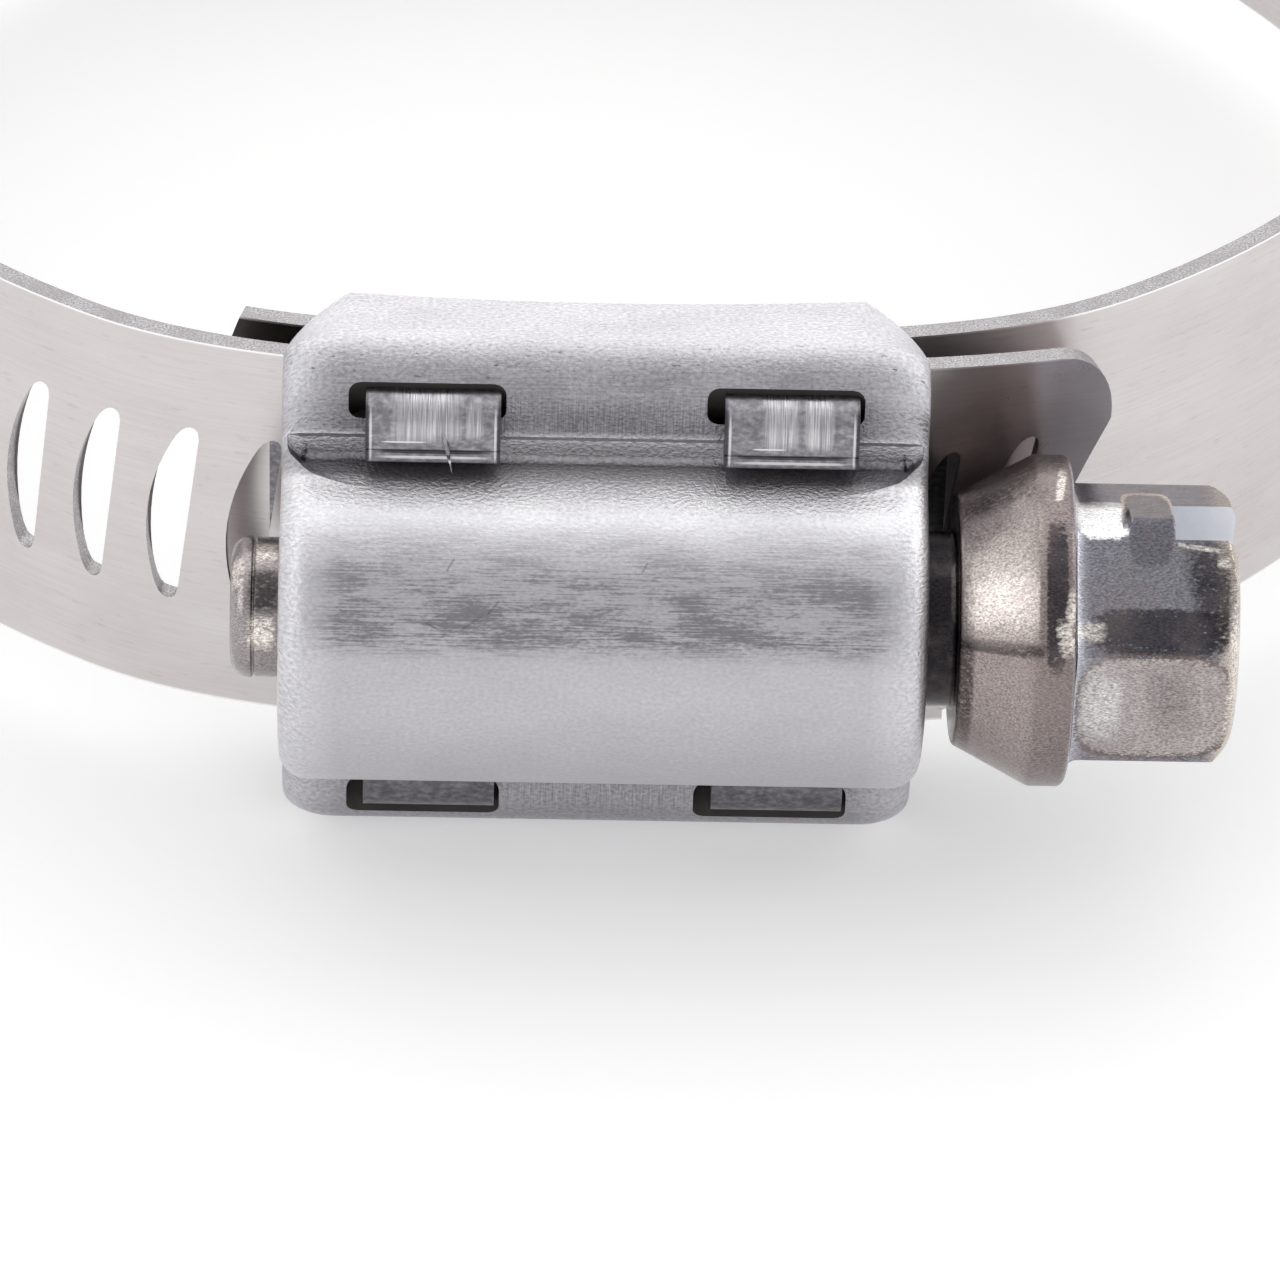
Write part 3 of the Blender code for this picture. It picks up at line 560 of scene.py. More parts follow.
housing = dict(
    half=10.6, sheet=0.8, domeRadius=5.67, flangeFront=0.34, wallOuter=9.495, shoulderRadius=1.5,
    edgeRadius=1.0, grooveWidth=1.05, grooveDepth=0.14, lipHeight=0.05, lipWidth=0.35, polarDepth=4.0,
    fillAngle=78.0, fillHandle=0.7, fillEnd=7.6, bankRun=0.75, bankPower=2.5, bankShare=0.9,
    insideBankRun=0.9, recessRun=(7.6, 7.75, 7.95, 8.35, 8.9, 9.4, 10.1, 10.6, 11.0, 11.3),
    recessReach=(6.6, 7.6, 8.65, 9.6, 10.2, 10.4, 10.42, 10.25, 9.9, 9.4), wallCornerRun=1.9,
    wallCornerWidth=1.4, windowWidth=5.15, windowCentre=5.85, windowLow=7.3, windowHigh=8.62,
    windowCorner=0.4, lowerWindowExtra=0.18, blockMargin=0.3, blockRows=13, blockStations=27,
    centreStations=5, crescentMargin=0.12, bankStations=10, edgeStations=9, rowClear=0.05,
    endWallShares=(0.12, 0.4, 0.75, 1.0), wallRows=7, wallRun=4.0, skirtOverlap=0.6, skirtCornerLength=2.1,
    skirtCornerHeight=2.8, tipBore=2.54, neckBore=3.12, passageFront=3.9, passageHalf=7.545, passageLip=0.6,
    edgeSoftness=0.05)


def runAlong(path):
    # length along a line of points, from its first one
    return np.concatenate([[0.0], np.cumsum(np.linalg.norm(np.diff(path, axis=0), axis=1))])


def sectionPath(h, inset=0.0):
    # half of the pressed section as (depth, z), inset by the sheet for the inside: a quarter circle at the
    # wall's shoulder, a flat flange with its lip and groove, and the dome's circle up to its top
    dome, flange = h["domeRadius"] - inset, h["flangeFront"] + inset
    wall, corner = h["wallOuter"] - inset, h["shoulderRadius"] - inset
    foot = math.sqrt(dome ** 2 - flange ** 2)
    turn = np.linspace(0, np.pi / 2, 11)
    shoulder = np.stack([flange + corner - corner * np.sin(turn), wall - corner + corner * np.cos(turn)], 1)
    if inset:
        floor = np.stack([np.full(5, flange), np.linspace(foot + 1.4, foot + 0.1, 5)], 1)
    else:
        lipZ = foot + h["grooveWidth"]
        floor = filletPath([
            (flange, lipZ + h["lipWidth"] + 0.4, 0), (flange, lipZ + h["lipWidth"], 0.3),
            (flange - h["lipHeight"], lipZ, 0.07), (flange + h["grooveDepth"], lipZ - 0.22, 0.1),
            (flange + h["grooveDepth"], foot + 0.02, 0.22), (flange - 0.9, foot - 0.02, 0)], 4)[:-1]
    sweep = np.linspace(math.asin(flange / dome) - 0.02 - 0.1 * (inset == 0), -np.pi / 2, 40)
    arc = np.stack([dome * np.sin(sweep), dome * np.cos(sweep)], 1)
    return np.vstack([shoulder, floor, arc[arc[:, 0] < floor[-1, 0] - 0.02]])


def fillAlong(h, inset, angles, reach):
    # the recess filled at its ends: a cubic Bezier curve that leaves the dome along its tangent and lands
    # flat on the flange, read as a reach by angle, and kept where it stands out further than the section
    dome, flange = h["domeRadius"] - inset, h["flangeFront"] + inset
    turn = math.radians(h["fillAngle"])
    start = np.array([-dome * math.cos(turn), dome * math.sin(turn)])
    leave = start + h["fillHandle"] * np.array([math.sin(turn), math.cos(turn)])
    end = np.array([flange, h["fillEnd"]])
    land = end - [0.0, h["fillHandle"]]
    t = np.linspace(0, 1, 40)[:, None]
    curve = start * (1 - t) ** 3 + 3 * leave * t * (1 - t) ** 2 + 3 * land * t ** 2 * (1 - t) + end * t ** 3
    around = np.arctan2(curve[:, 1], h["polarDepth"] - curve[:, 0])
    filled = np.interp(angles, around, np.hypot(curve[:, 1], h["polarDepth"] - curve[:, 0]))
    return np.where((angles > around[0]) & (angles < around[-1]), np.maximum(filled, reach), reach)


def skirtBack(x, h):
    # the walls' back edge: depth of the seat arc, radius - sqrt(radius^2 - x^2), and a straight slope at each
    # end
    radius = strip["seatArcRadius"]
    back = strip["seatDepth"] + radius - np.sqrt(radius ** 2 - x ** 2) + h["skirtOverlap"]
    past = np.maximum(np.abs(x) - (h["half"] - h["skirtCornerLength"]), 0)
    return back - past * h["skirtCornerHeight"] / h["skirtCornerLength"]


def housingStations(h, z, crescent, block):
    # x of every net point, and how far its reach shrinks: even through the windows, crowding as a parabola up
    # to the recess's crescent, then round the end's edge as a quarter circle. Stations stay 0.02 mm apart or
    # more.
    fixedX = np.concatenate([np.linspace(0, block[0], h["centreStations"] + 1)[:-1], block])
    scale = np.minimum(1.0, (crescent - h["crescentMargin"]) / fixedX[-1])
    nearX = fixedX[:, None] * scale[None, :]
    ramp = 1 - (1 - np.linspace(0, 1, h["bankStations"] + 1)[1:, None]) ** 2
    midX = nearX[-1] + (crescent - nearX[-1]) * ramp
    flatX = h["half"] - h["edgeRadius"]
    outerStart = np.minimum(np.maximum(crescent, flatX - 0.2), h["half"] - 0.17)
    outX = [crescent * (1 - t) + outerStart * t for t in (0.35, 0.7)]
    endX = [np.maximum(flatX + h["edgeRadius"] * math.sin(turn), outX[-1] + 0.02 * (i + 1))
            for i, turn in enumerate(np.radians(np.linspace(0, 90, h["edgeStations"])))]
    x = np.vstack([nearX, midX, outX, np.minimum(endX, h["half"])])
    x = np.vstack([-x[:0:-1], x])
    nearWall = np.clip((z - h["wallOuter"]) / h["wallCornerWidth"] + 1, 0, 1)
    cornerRun = h["edgeRadius"] + (h["wallCornerRun"] - h["edgeRadius"]) * nearWall
    into = np.clip((np.abs(x) - h["half"]) / cornerRun + 1, 0, 1)
    return x, h["edgeRadius"] * (1 - np.sqrt(1 - into ** 2))


def housingSkins(h, path, run, rows, crescent, block):
    # outside and inside of the upper half as (station, row) nets. Each is a reach from the polar axis by the
    # angle round it. In the recess it stays low, and near the crescent it climbs a bank, (1 - distance / run)
    # ^ power.
    centre = h["polarDepth"]
    depth, z = (np.interp(rows, run[::-1], path[::-1, i]) for i in (0, 1))
    around, reach = np.arctan2(z, centre - depth), np.hypot(z, centre - depth)
    innerPath = sectionPath(h, h["sheet"])
    inAround = np.arctan2(innerPath[:, 1], centre - innerPath[:, 0])
    inner = np.interp(around, inAround[::-1], np.hypot(innerPath[:, 1], centre - innerPath[:, 0])[::-1])
    x, shrink = housingStations(h, z, crescent, block)
    short = np.maximum(crescent - np.abs(x), 0) / h["bankRun"]
    climb = np.where(np.abs(x) >= crescent, 1.0, np.clip(1 - short, 0, 1) ** h["bankPower"] * h["bankShare"])
    inClimb = np.clip((np.abs(x) - (crescent - h["insideBankRun"])) / h["insideBankRun"], 0, 1)
    outerReach = reach + (fillAlong(h, 0.0, around, reach) - reach) * climb - shrink
    innerReach = inner + (fillAlong(h, h["sheet"], around, inner) - inner) * inClimb
    innerX = np.sign(x) * np.minimum(np.abs(x), h["half"] - h["sheet"])

    # wall rows run from the shoulder to the back edge
    share = np.linspace(1, 0, h["wallRows"] + 1)[:-1]
    skins = []
    for skinX, skinReach in ((x, outerReach), (innerX, innerReach)):
        skinDepth, skinZ = centre - skinReach * np.cos(around), skinReach * np.sin(around)
        back = np.maximum(skirtBack(x[:, :1], h), skinDepth[:, :1] + 0.05)
        wallDepth = skinDepth[:, :1] * (1 - share) + back * share
        skins.append(np.stack([
            np.hstack([np.repeat(skinX[:, :1], h["wallRows"], 1), skinX]), np.hstack([wallDepth, skinDepth]),
            np.hstack([np.repeat(skinZ[:, :1], h["wallRows"], 1), skinZ])], -1))
    return skins


def withEndWalls(h, skins, keys):
    # adds straight lines from each end ring to its opening: the band's passage with square sides, and round
    # the screw a circle of the bore. Both are matched at shoulder, window, foot and the dome's top.
    rowCount = skins[0].shape[1]
    ends = {}
    for side, bore in ((-1, h["tipBore"]), (1, h["neckBore"])):
        front, half = h["passageFront"], h["passageHalf"]
        opening = np.zeros((rowCount, 2))
        stops = [(front, half), (front, half - h["passageLip"]), (front, bore), (0.0, bore)]
        for (i0, i1), (a, b) in zip(zip(keys, keys[1:4]), zip(stops, stops[1:])):
            t = np.linspace(0, 1, i1 - i0 + 1)[:, None]
            opening[i0:i1 + 1] = np.array(a) * (1 - t) + np.array(b) * t
        sweep = np.linspace(0, np.pi / 2, rowCount - keys[3])
        opening[keys[3]:] = np.stack([-bore * np.sin(sweep), bore * np.cos(sweep)], 1)
        shares = np.array(h["endWallShares"])[:, None, None]
        for i, skin in enumerate(skins):
            ring = skin[0 if side < 0 else -1]
            x = np.broadcast_to(ring[:, :1], (len(shares), rowCount, 1))
            ends[side, i] = np.concatenate([x, ring[:, 1:] * (1 - shares) + opening * shares], -1)
    return [np.concatenate([ends[-1, i][::-1], skin, ends[1, i]]) for i, skin in enumerate(skins)]


def onSkin(skin, i, j):
    # a place between net points, by straight steps both ways
    a, b = (np.minimum(np.floor(place).astype(int), count - 2) for place, count in zip((i, j), skin.shape))
    wa, wb = (i - a)[:, None], (j - b)[:, None]
    return ((skin[a, b] * (1 - wa) + skin[a + 1, b] * wa) * (1 - wb)
            + (skin[a, b + 1] * (1 - wa) + skin[a + 1, b + 1] * wa) * wb)


def roundedWindow(h, u, v, halfV, extra):
    # carries a square -1..1 onto a rectangle whose corners are quarter circles, its near side moved by extra
    halfU, corner = h["windowWidth"] / 2, h["windowCorner"]
    px, pv = u * halfU, v * halfV
    qx = np.clip(px, -(halfU - corner), halfU - corner)
    qv = np.clip(pv, -(halfV - corner), halfV - corner)
    dx, dv = px - qx, pv - qv
    size = np.hypot(dx, dv)
    both = (np.abs(dx) > 1e-9) & (np.abs(dv) > 1e-9)
    spoke = corner / np.where(size > 0, size, 1)
    px, pv = np.where(both, qx + dx * spoke, px), np.where(both, qv + dv * spoke, pv)
    return px, np.where(pv < 0, pv * (1 + extra / halfV), pv)


def cutWindows(h, full, fullRun, index, blocks, halfV):
    # the cells inside each of the four blocks give way to rings that shrink to the window's outline
    (i0, i1), (j0, j1) = blocks
    stations, columns = index.shape
    kept = np.ones((stations - 1, columns - 1), bool)
    points, runs, quads, base = ([], []), [], [], stations * columns
    for left, right in ((i0, i1), (stations - 1 - i1, stations - 1 - i0)):
        for low, high, extra in ((j0, j1, 0.0), (columns - 1 - j1, columns - 1 - j0, h["lowerWindowExtra"])):
            kept[left:right, low:high] = False
            ring = np.concatenate([index[left:right, low], index[right, low:high],
                                   index[right:left:-1, high], index[left, high:low:-1]])
            gridI, gridJ = np.divmod(ring, columns)
            u, v = (gridI - left) / (right - left) * 2 - 1, (gridJ - low) / (high - low) * 2 - 1
            px, pv = roundedWindow(h, u, v, halfV, extra)
            toI = left + (px / (h["windowWidth"] / 2 + h["blockMargin"]) + 1) / 2 * (right - left)
            toJ = low + (pv / (halfV + h["blockMargin"]) + 1) / 2 * (high - low)
            for t in (0.5, 1.0):
                i, j = gridI * (1 - t) + toI * t, gridJ * (1 - t) + toJ * t
                for skin, store in zip(full, points):
                    store.append(onSkin(skin, i, j))
                runs.append(np.interp(j, np.arange(columns), fullRun))
            first = np.arange(len(ring)) + base
            for one, two in ((ring, first), (first, first + len(ring))):
                quads.append(np.stack([one, np.roll(one, -1), np.roll(two, -1), two], 1))
            base += 2 * len(ring)
    return kept, points, runs, quads


def buildHousing(materials):
    # the pressed section carried along x, with recess, windows and end walls: two nets joined at their edges
    h = housing
    path = sectionPath(h)
    run = runAlong(path)
    run = run[-1] - run


    # rows by their run, the length along the section from the dome's top, and stations by x: the window's
    # borders are put in exactly, the rest follow the section's own points
    onFlange, onDome = slice(-24, None), slice(0, 40)
    flangeZ, flangeRun = np.maximum.accumulate(path[::-1, 1])[onFlange], run[::-1][onFlange]
    lowRow, highRow = (float(np.interp(h[key], flangeZ, flangeRun)) for key in ("windowLow", "windowHigh"))
    blockRows = np.linspace(lowRow - h["blockMargin"], highRow + h["blockMargin"], h["blockRows"])
    keep = run[(run < blockRows[0] - h["rowClear"]) | (run > blockRows[-1] + h["rowClear"])]
    rows = np.unique(np.concatenate([keep, blockRows]))[::-1]
    crescent = np.interp(rows, h["recessRun"], h["recessReach"])
    reach = h["windowWidth"] / 2 + h["blockMargin"]
    block = np.linspace(h["windowCentre"] - reach, h["windowCentre"] + reach, h["blockStations"])
    skins = housingSkins(h, path, run, rows, crescent, block)

    footRun = np.interp(0.0, path[::-1, 0][onDome], run[::-1][onDome])
    windowRow, footRow, blockEnd, blockStart = (
        h["wallRows"] + int(np.argmin(np.abs(rows - place)))
        for place in (lowRow, footRun, blockRows[-1], blockRows[0]))
    skins = withEndWalls(h, skins, [0, h["wallRows"], windowRow, footRow])

    # mirrored to the lower half, with the run length of every row for the finish
    rowRun = np.concatenate([run[0] + np.linspace(h["wallRun"], 0.0, h["wallRows"] + 1)[:-1], rows])
    full = [np.concatenate([skin, (skin * [1, 1, -1])[:, -2::-1]], 1) for skin in skins]
    fullRun = np.concatenate([rowRun, -rowRun[-2::-1]])
    stations, columns = full[0].shape[:2]
    index = np.arange(stations * columns).reshape(stations, columns)
    quads = np.stack([index[:-1, :-1], index[1:, :-1], index[1:, 1:], index[:-1, 1:]], -1)
    firstStation = stations // 2 + h["centreStations"]
    blocks = (firstStation, firstStation + len(block) - 1), (blockEnd, blockStart)
    kept, extra, extraRun, extraQuads = cutWindows(h, full, fullRun, index, blocks, (highRow - lowRow) / 2)

    quads = np.vstack([quads[kept], *extraQuads])
    sides = [np.vstack([full[i].reshape(-1, 3), *extra[i]]) + [0, screwY, 0] for i in (0, 1)]
    allRun = np.concatenate([np.tile(fullRun, stations), *extraRun])
    points, faces, walls = thickShell(*sides, quads)
    slots = np.concatenate([np.zeros(len(quads)), np.ones(len(quads) + len(walls))])
    uv = np.stack([points[:, 0], np.concatenate([allRun, allRun])], 1) * toMetres
    return makePiece("pressed_housing", "clamp", "housing", points, np.vstack([faces, walls]), materials,
                     slots, uv, h["edgeSoftness"])


# screw

screw = dict(
    crest=4.15, root=3.0, pitch=2.83, crestWidth=0.66, rootWidth=1.25, wormReach=9.1, wormSteps=290,
    phase=0.0, wormFade=1.0, wormFadeMargin=0.3, tipRadius=2.32, tipReach=12.25, tipCorner=0.62,
    tipSwell=0.03, tipCrease=11.5, tipCreaseHalf=0.06, tipCreaseDepth=0.07, tipTaper=0.4, neckRadius=2.9,
    neckTaper=0.25, collarStart=11.65, collarFace=4.15, collarRadius=5.5, rimStart=14.2, rimBack=4.2,
    hexStart=15.4, hexEnd=20.85, acrossFlats=8.3, cornerAngle=79.6, cornerSharpness=40.0, struckAngle=96.0,
    struckFace=4.2, ridgeMiddle=17.95, ridgeHalf=0.72, ridgeBlend=0.16, endRound=0.22, chamferRun=0.7,
    chamferFace=3.98, chamferSlope=1.25, footFillet=0.4, footShare=0.7, footRun=0.5, footGap=0.1,
    slotAngle=86.0, slotWidth=2.2, slotDepth=2.15, cutterHalf=7.0, cutterRise=1.0, around=180,
    edgeSoftness=0.07)


def shankAndNeck(s):
    # half outlines as (x, radius) with rounded corners: tip and its crease before the worm, neck and collar
    # after it
    swell, crease, half = s["tipRadius"] + s["tipSwell"], -s["tipCrease"], s["tipCreaseHalf"]
    shank = filletPath([
        (-s["tipReach"], 0.001, 0), (-s["tipReach"], swell, s["tipCorner"]), (crease - half, swell, 0.03),
        (crease, s["tipRadius"] - s["tipCreaseDepth"], 0.03), (crease + 0.1, s["tipRadius"], 0.05),
        (-s["wormReach"] - s["tipTaper"], s["tipRadius"], 0.1), (-s["wormReach"], s["root"], 0)], 6)
    neck = filletPath([
        (s["wormReach"], s["root"], 0), (s["wormReach"] + s["neckTaper"], s["neckRadius"], 0.05),
        (s["collarStart"], s["neckRadius"], 0.2), (s["collarStart"], s["collarFace"], 0.22),
        (s["rimStart"], s["collarRadius"], 0.35), (s["hexStart"], s["collarRadius"], 0.28),
        (s["hexStart"], s["rimBack"], 0.1), (s["hexStart"] + 0.001, 4.1, 0)], 6)
    return shank, neck


def wormRadius(s, x, turn, radius):
    # a ridge of trapezoid section whose place moves one pitch along for each turn, faded out at both ends
    where = (x - s["phase"]) / s["pitch"] - turn / (2 * np.pi)
    off = np.abs(where - np.round(where)) * s["pitch"]
    ridge = np.clip((s["rootWidth"] / 2 - off) / ((s["rootWidth"] - s["crestWidth"]) / 2), 0, 1)
    fade = np.clip((s["wormReach"] - s["wormFadeMargin"] - np.abs(x)) / s["wormFade"], 0, 1)
    return radius + (s["crest"] - s["root"]) * ridge * fade * (np.abs(x) < s["wormReach"])


def hexHead(s, turn):
    # stations along x and the radius round each: the distance to the nearest flat along every direction, as a
    # soft minimum -log(sum exp(-sharpness * distance)) / sharpness. The corner that the driver slot passes
    # through was struck down to one more flat, apart from a ridge of metal pushed up beside the slot.
    flats = np.radians(np.append(s["cornerAngle"] - 30 + 60 * np.arange(6), s["struckAngle"]))
    apothem = np.append(np.full(6, s["acrossFlats"] / 2), s["struckFace"])
    toward, least, farOff = np.cos(turn[:, None] - flats[None, :]), 0.2, 99
    plane = np.where(toward > least, apothem / np.maximum(toward, least), farOff)
    nearest = np.exp(-s["cornerSharpness"] * (plane - apothem[0]))
    sharp, struck = (
        apothem[0] - np.log(nearest[:, :count].sum(1)) / s["cornerSharpness"] for count in (6, 7))
    start, end, rounding, chamfer = (s[key] for key in ("hexStart", "hexEnd", "endRound", "chamferRun"))
    hexX = np.concatenate([
        start + np.linspace(0, s["footRun"], 8)[1:],
        np.linspace(start + (s["footRun"] + s["footGap"]), end - chamfer, 34),
        end - chamfer + np.linspace(0, chamfer - rounding, 7)[1:],
        end - rounding + rounding * np.sin(np.radians(np.linspace(0, 90, 6))[1:])])
    past = np.clip((np.abs(hexX - s["ridgeMiddle"]) - s["ridgeHalf"]) / s["ridgeBlend"], 0, 1)
    worn = (past * past * (3 - 2 * past))[:, None]
    hexRadius = sharp * (1 - worn) + struck * worn

    # cone at the head's end, a quarter circle into the collar at its foot and another round the end's edge
    cone = s["chamferFace"] + (end - hexX) * s["chamferSlope"]
    hexRadius = np.minimum(hexRadius, np.where(hexX > end - chamfer, cone, farOff)[:, None])
    outOf = np.clip(1 - (hexX - start) / s["footFillet"], 0, 1)
    foot = s["footFillet"] * (1 - np.sqrt(1 - outOf ** 2)) * s["footShare"]
    intoEnd = np.clip(hexX - (end - rounding), 0, rounding)
    inset = rounding - np.sqrt(np.maximum(rounding ** 2 - intoEnd ** 2, 0))
    hexRadius = hexRadius + (foot - inset)[:, None]
    endRings = np.array([0.85, 0.6, 0.3, 0.001])[:, None]
    return np.append(hexX, np.full(4, end)), np.vstack([hexRadius, hexRadius[-1] * endRings])


def cutDriverSlot(s, piece, materials):
    # takes a box off the head's end across its middle, and keeps the result as the piece's own mesh
    a = math.radians(s["slotAngle"])
    along, across = np.array([-math.cos(a), math.sin(a)]), np.array([math.sin(a), math.cos(a)])
    cutX = (s["hexEnd"] - s["slotDepth"], s["hexEnd"] + s["cutterRise"])
    corners = [(cx, *(along * s["cutterHalf"] * i + across * s["slotWidth"] / 2 * j))
               for cx in cutX for i, j in ((-1, -1), (1, -1), (1, 1), (-1, 1))]
    box = bpy.data.meshes.new("driver slot")
    box.from_pydata((np.array(corners) * toMetres + [0, screwY * toMetres, 0]).tolist(), [],
                    [(0, 1, 2, 3), (7, 6, 5, 4), (4, 5, 1, 0), (5, 6, 2, 1), (6, 7, 3, 2), (7, 4, 0, 3)])
    for material in materials:
        box.materials.append(material)
    box.polygons.foreach_set("material_index", [1] * len(box.polygons))
    cutter = bpy.data.objects.new("driver slot", box)
    bpy.context.scene.collection.objects.link(cutter)
    cut = piece.modifiers.new("driver slot", "BOOLEAN")
    cut.object, cut.operation, cut.solver = cutter, "DIFFERENCE", "EXACT"
    bpy.context.view_layer.update()
    cutMesh = bpy.data.meshes.new_from_object(piece.evaluated_get(bpy.context.evaluated_depsgraph_get()))
    piece.modifiers.clear()
    piece.data = cutMesh
    bpy.data.objects.remove(cutter)


def buildScrew(materials):
    # one surface of rings round the x axis, from the tip over worm, neck and collar to the hexagon's end
    s = screw
    turn = np.linspace(0, 2 * np.pi, s["around"], endpoint=False)
    wormX = np.linspace(-s["wormReach"], s["wormReach"], s["wormSteps"])[1:-1]
    shank, neck = shankAndNeck(s)
    profile = np.vstack([shank, np.stack([wormX, np.full_like(wormX, s["root"])], 1), neck])
    x, radius = (np.repeat(profile[:, i:i + 1], len(turn), 1) for i in (0, 1))
    radius = wormRadius(s, x, turn, radius)
    hexX, hexRadius = hexHead(s, turn)
    x = np.vstack([x, np.repeat(hexX[:, None], len(turn), 1)])
    radius = np.vstack([radius, hexRadius])
    points = np.stack([x, -radius * np.cos(turn) + screwY, radius * np.sin(turn)], -1).reshape(-1, 3)
    faces = closedTube(points, len(x), True)
    piece = makePiece("worm_screw", "screw", "screw", points, faces, materials, bevel=0)
    cutDriverSlot(s, piece, materials)
    softenEdges(piece, s["edgeSoftness"], 3, 40)
    return piece


# finishes

def bandFinish():
    # Stainless strip, cold rolled and annealed: a warm pale satin with faint lines along the strip, cloudy
    # where it was handled, and a few small dark marks. The lines are drawn coarser than real ones so that
    # they show.
    material, add, shader = newMaterial("rolledStainlessStrip")
    uv = add("TexCoord", out=2)
    grain = grainsOf(add, uv, dict(
        lines=((4.0, 0.1, 1), 4), cloud=((6.0, 3.0, 1), 4), mark=((1.0, 0.22, 1), 5),
        tooth=((0.16, 0.12, 1), 2)))
    colour = add("ValToRGB", {0: grain["cloud"]}, [(0.3, "#CFC9C9"), (0.65, "#DAD5D5")])

    # painted shadow on the upper corner of the fixed end, where it lies in the shade of the outer layer, and
    # a painted highlight along both slit borders' arrises, on the inside of the loop too: its place on the
    # sheet is insideShift further, so that place is wrapped back first
    paintedTabShadow = flatMarks(add, uv, [(lengthAtX(-band["tabReach"], 0) + 1.0, 6.3, 3.2, 1.7, 0)])
    wrap = band["insideShift"] / 2 * toMetres
    across = add("Math", {0: add("SeparateXYZ", {0: uv}, out=1), 1: wrap, 2: -wrap}, operation="WRAP")
    across = add("Math", {0: across}, operation="ABSOLUTE")
    arris = [(halfWidth - inside) * toMetres for inside in (0.1, 0.04)]
    # the near-black tone is the painted shadow on the fixed end, the near-white one the painted arris
    # highlight
    colour = painted(add, colour, [
        (grain["lines"], 0.3, 0.7, 0.3, "#B9B2B1"), (grain["mark"], 0.6, 0.76, 0.3, "#8A8280"),
        (paintedTabShadow, 0.0, 0.5, 0.85, "#2A2624"), (across, *arris, 1.0, "#FBFAFA")])
    rough = add("MapRange", {0: grain["cloud"], 1: 0.3, 2: 0.7, 3: 0.26, 4: 0.34})
    relief = reliefOf(add, [(grain["lines"], 0.0014), (grain["tooth"], 0.001), (grain["cloud"], 0.003)])
    feed(shader, {"Base Color": colour, "Roughness": rough, "Normal": relief})
    return material


def cutFinish():
    # Edges left by slitting and punching: torn metal whose grains of 0.07 mm glitter, in duller patches
    material, add, shader = newMaterial("shearedStainlessEdge")
    place = add("TexCoord", out=3)
    grain = grainsOf(add, place, dict(tear=((0.07, 0.07, 0.06), 4), patch=((1.2, 1.2, 0.8), 3)))
    colour = add("ValToRGB", {0: grain["tear"]}, [(0.34, "#858284"), (0.5, "#A9A6A8"), (0.66, "#D0CECF")])
    colour = painted(add, colour, [(grain["patch"], 0.4, 0.65, 0.5, "#949091")])
    relief = reliefOf(add, [(grain["tear"], 0.006)])
    feed(shader, {"Base Color": colour, "Roughness": 0.42, "Normal": relief})
    return material


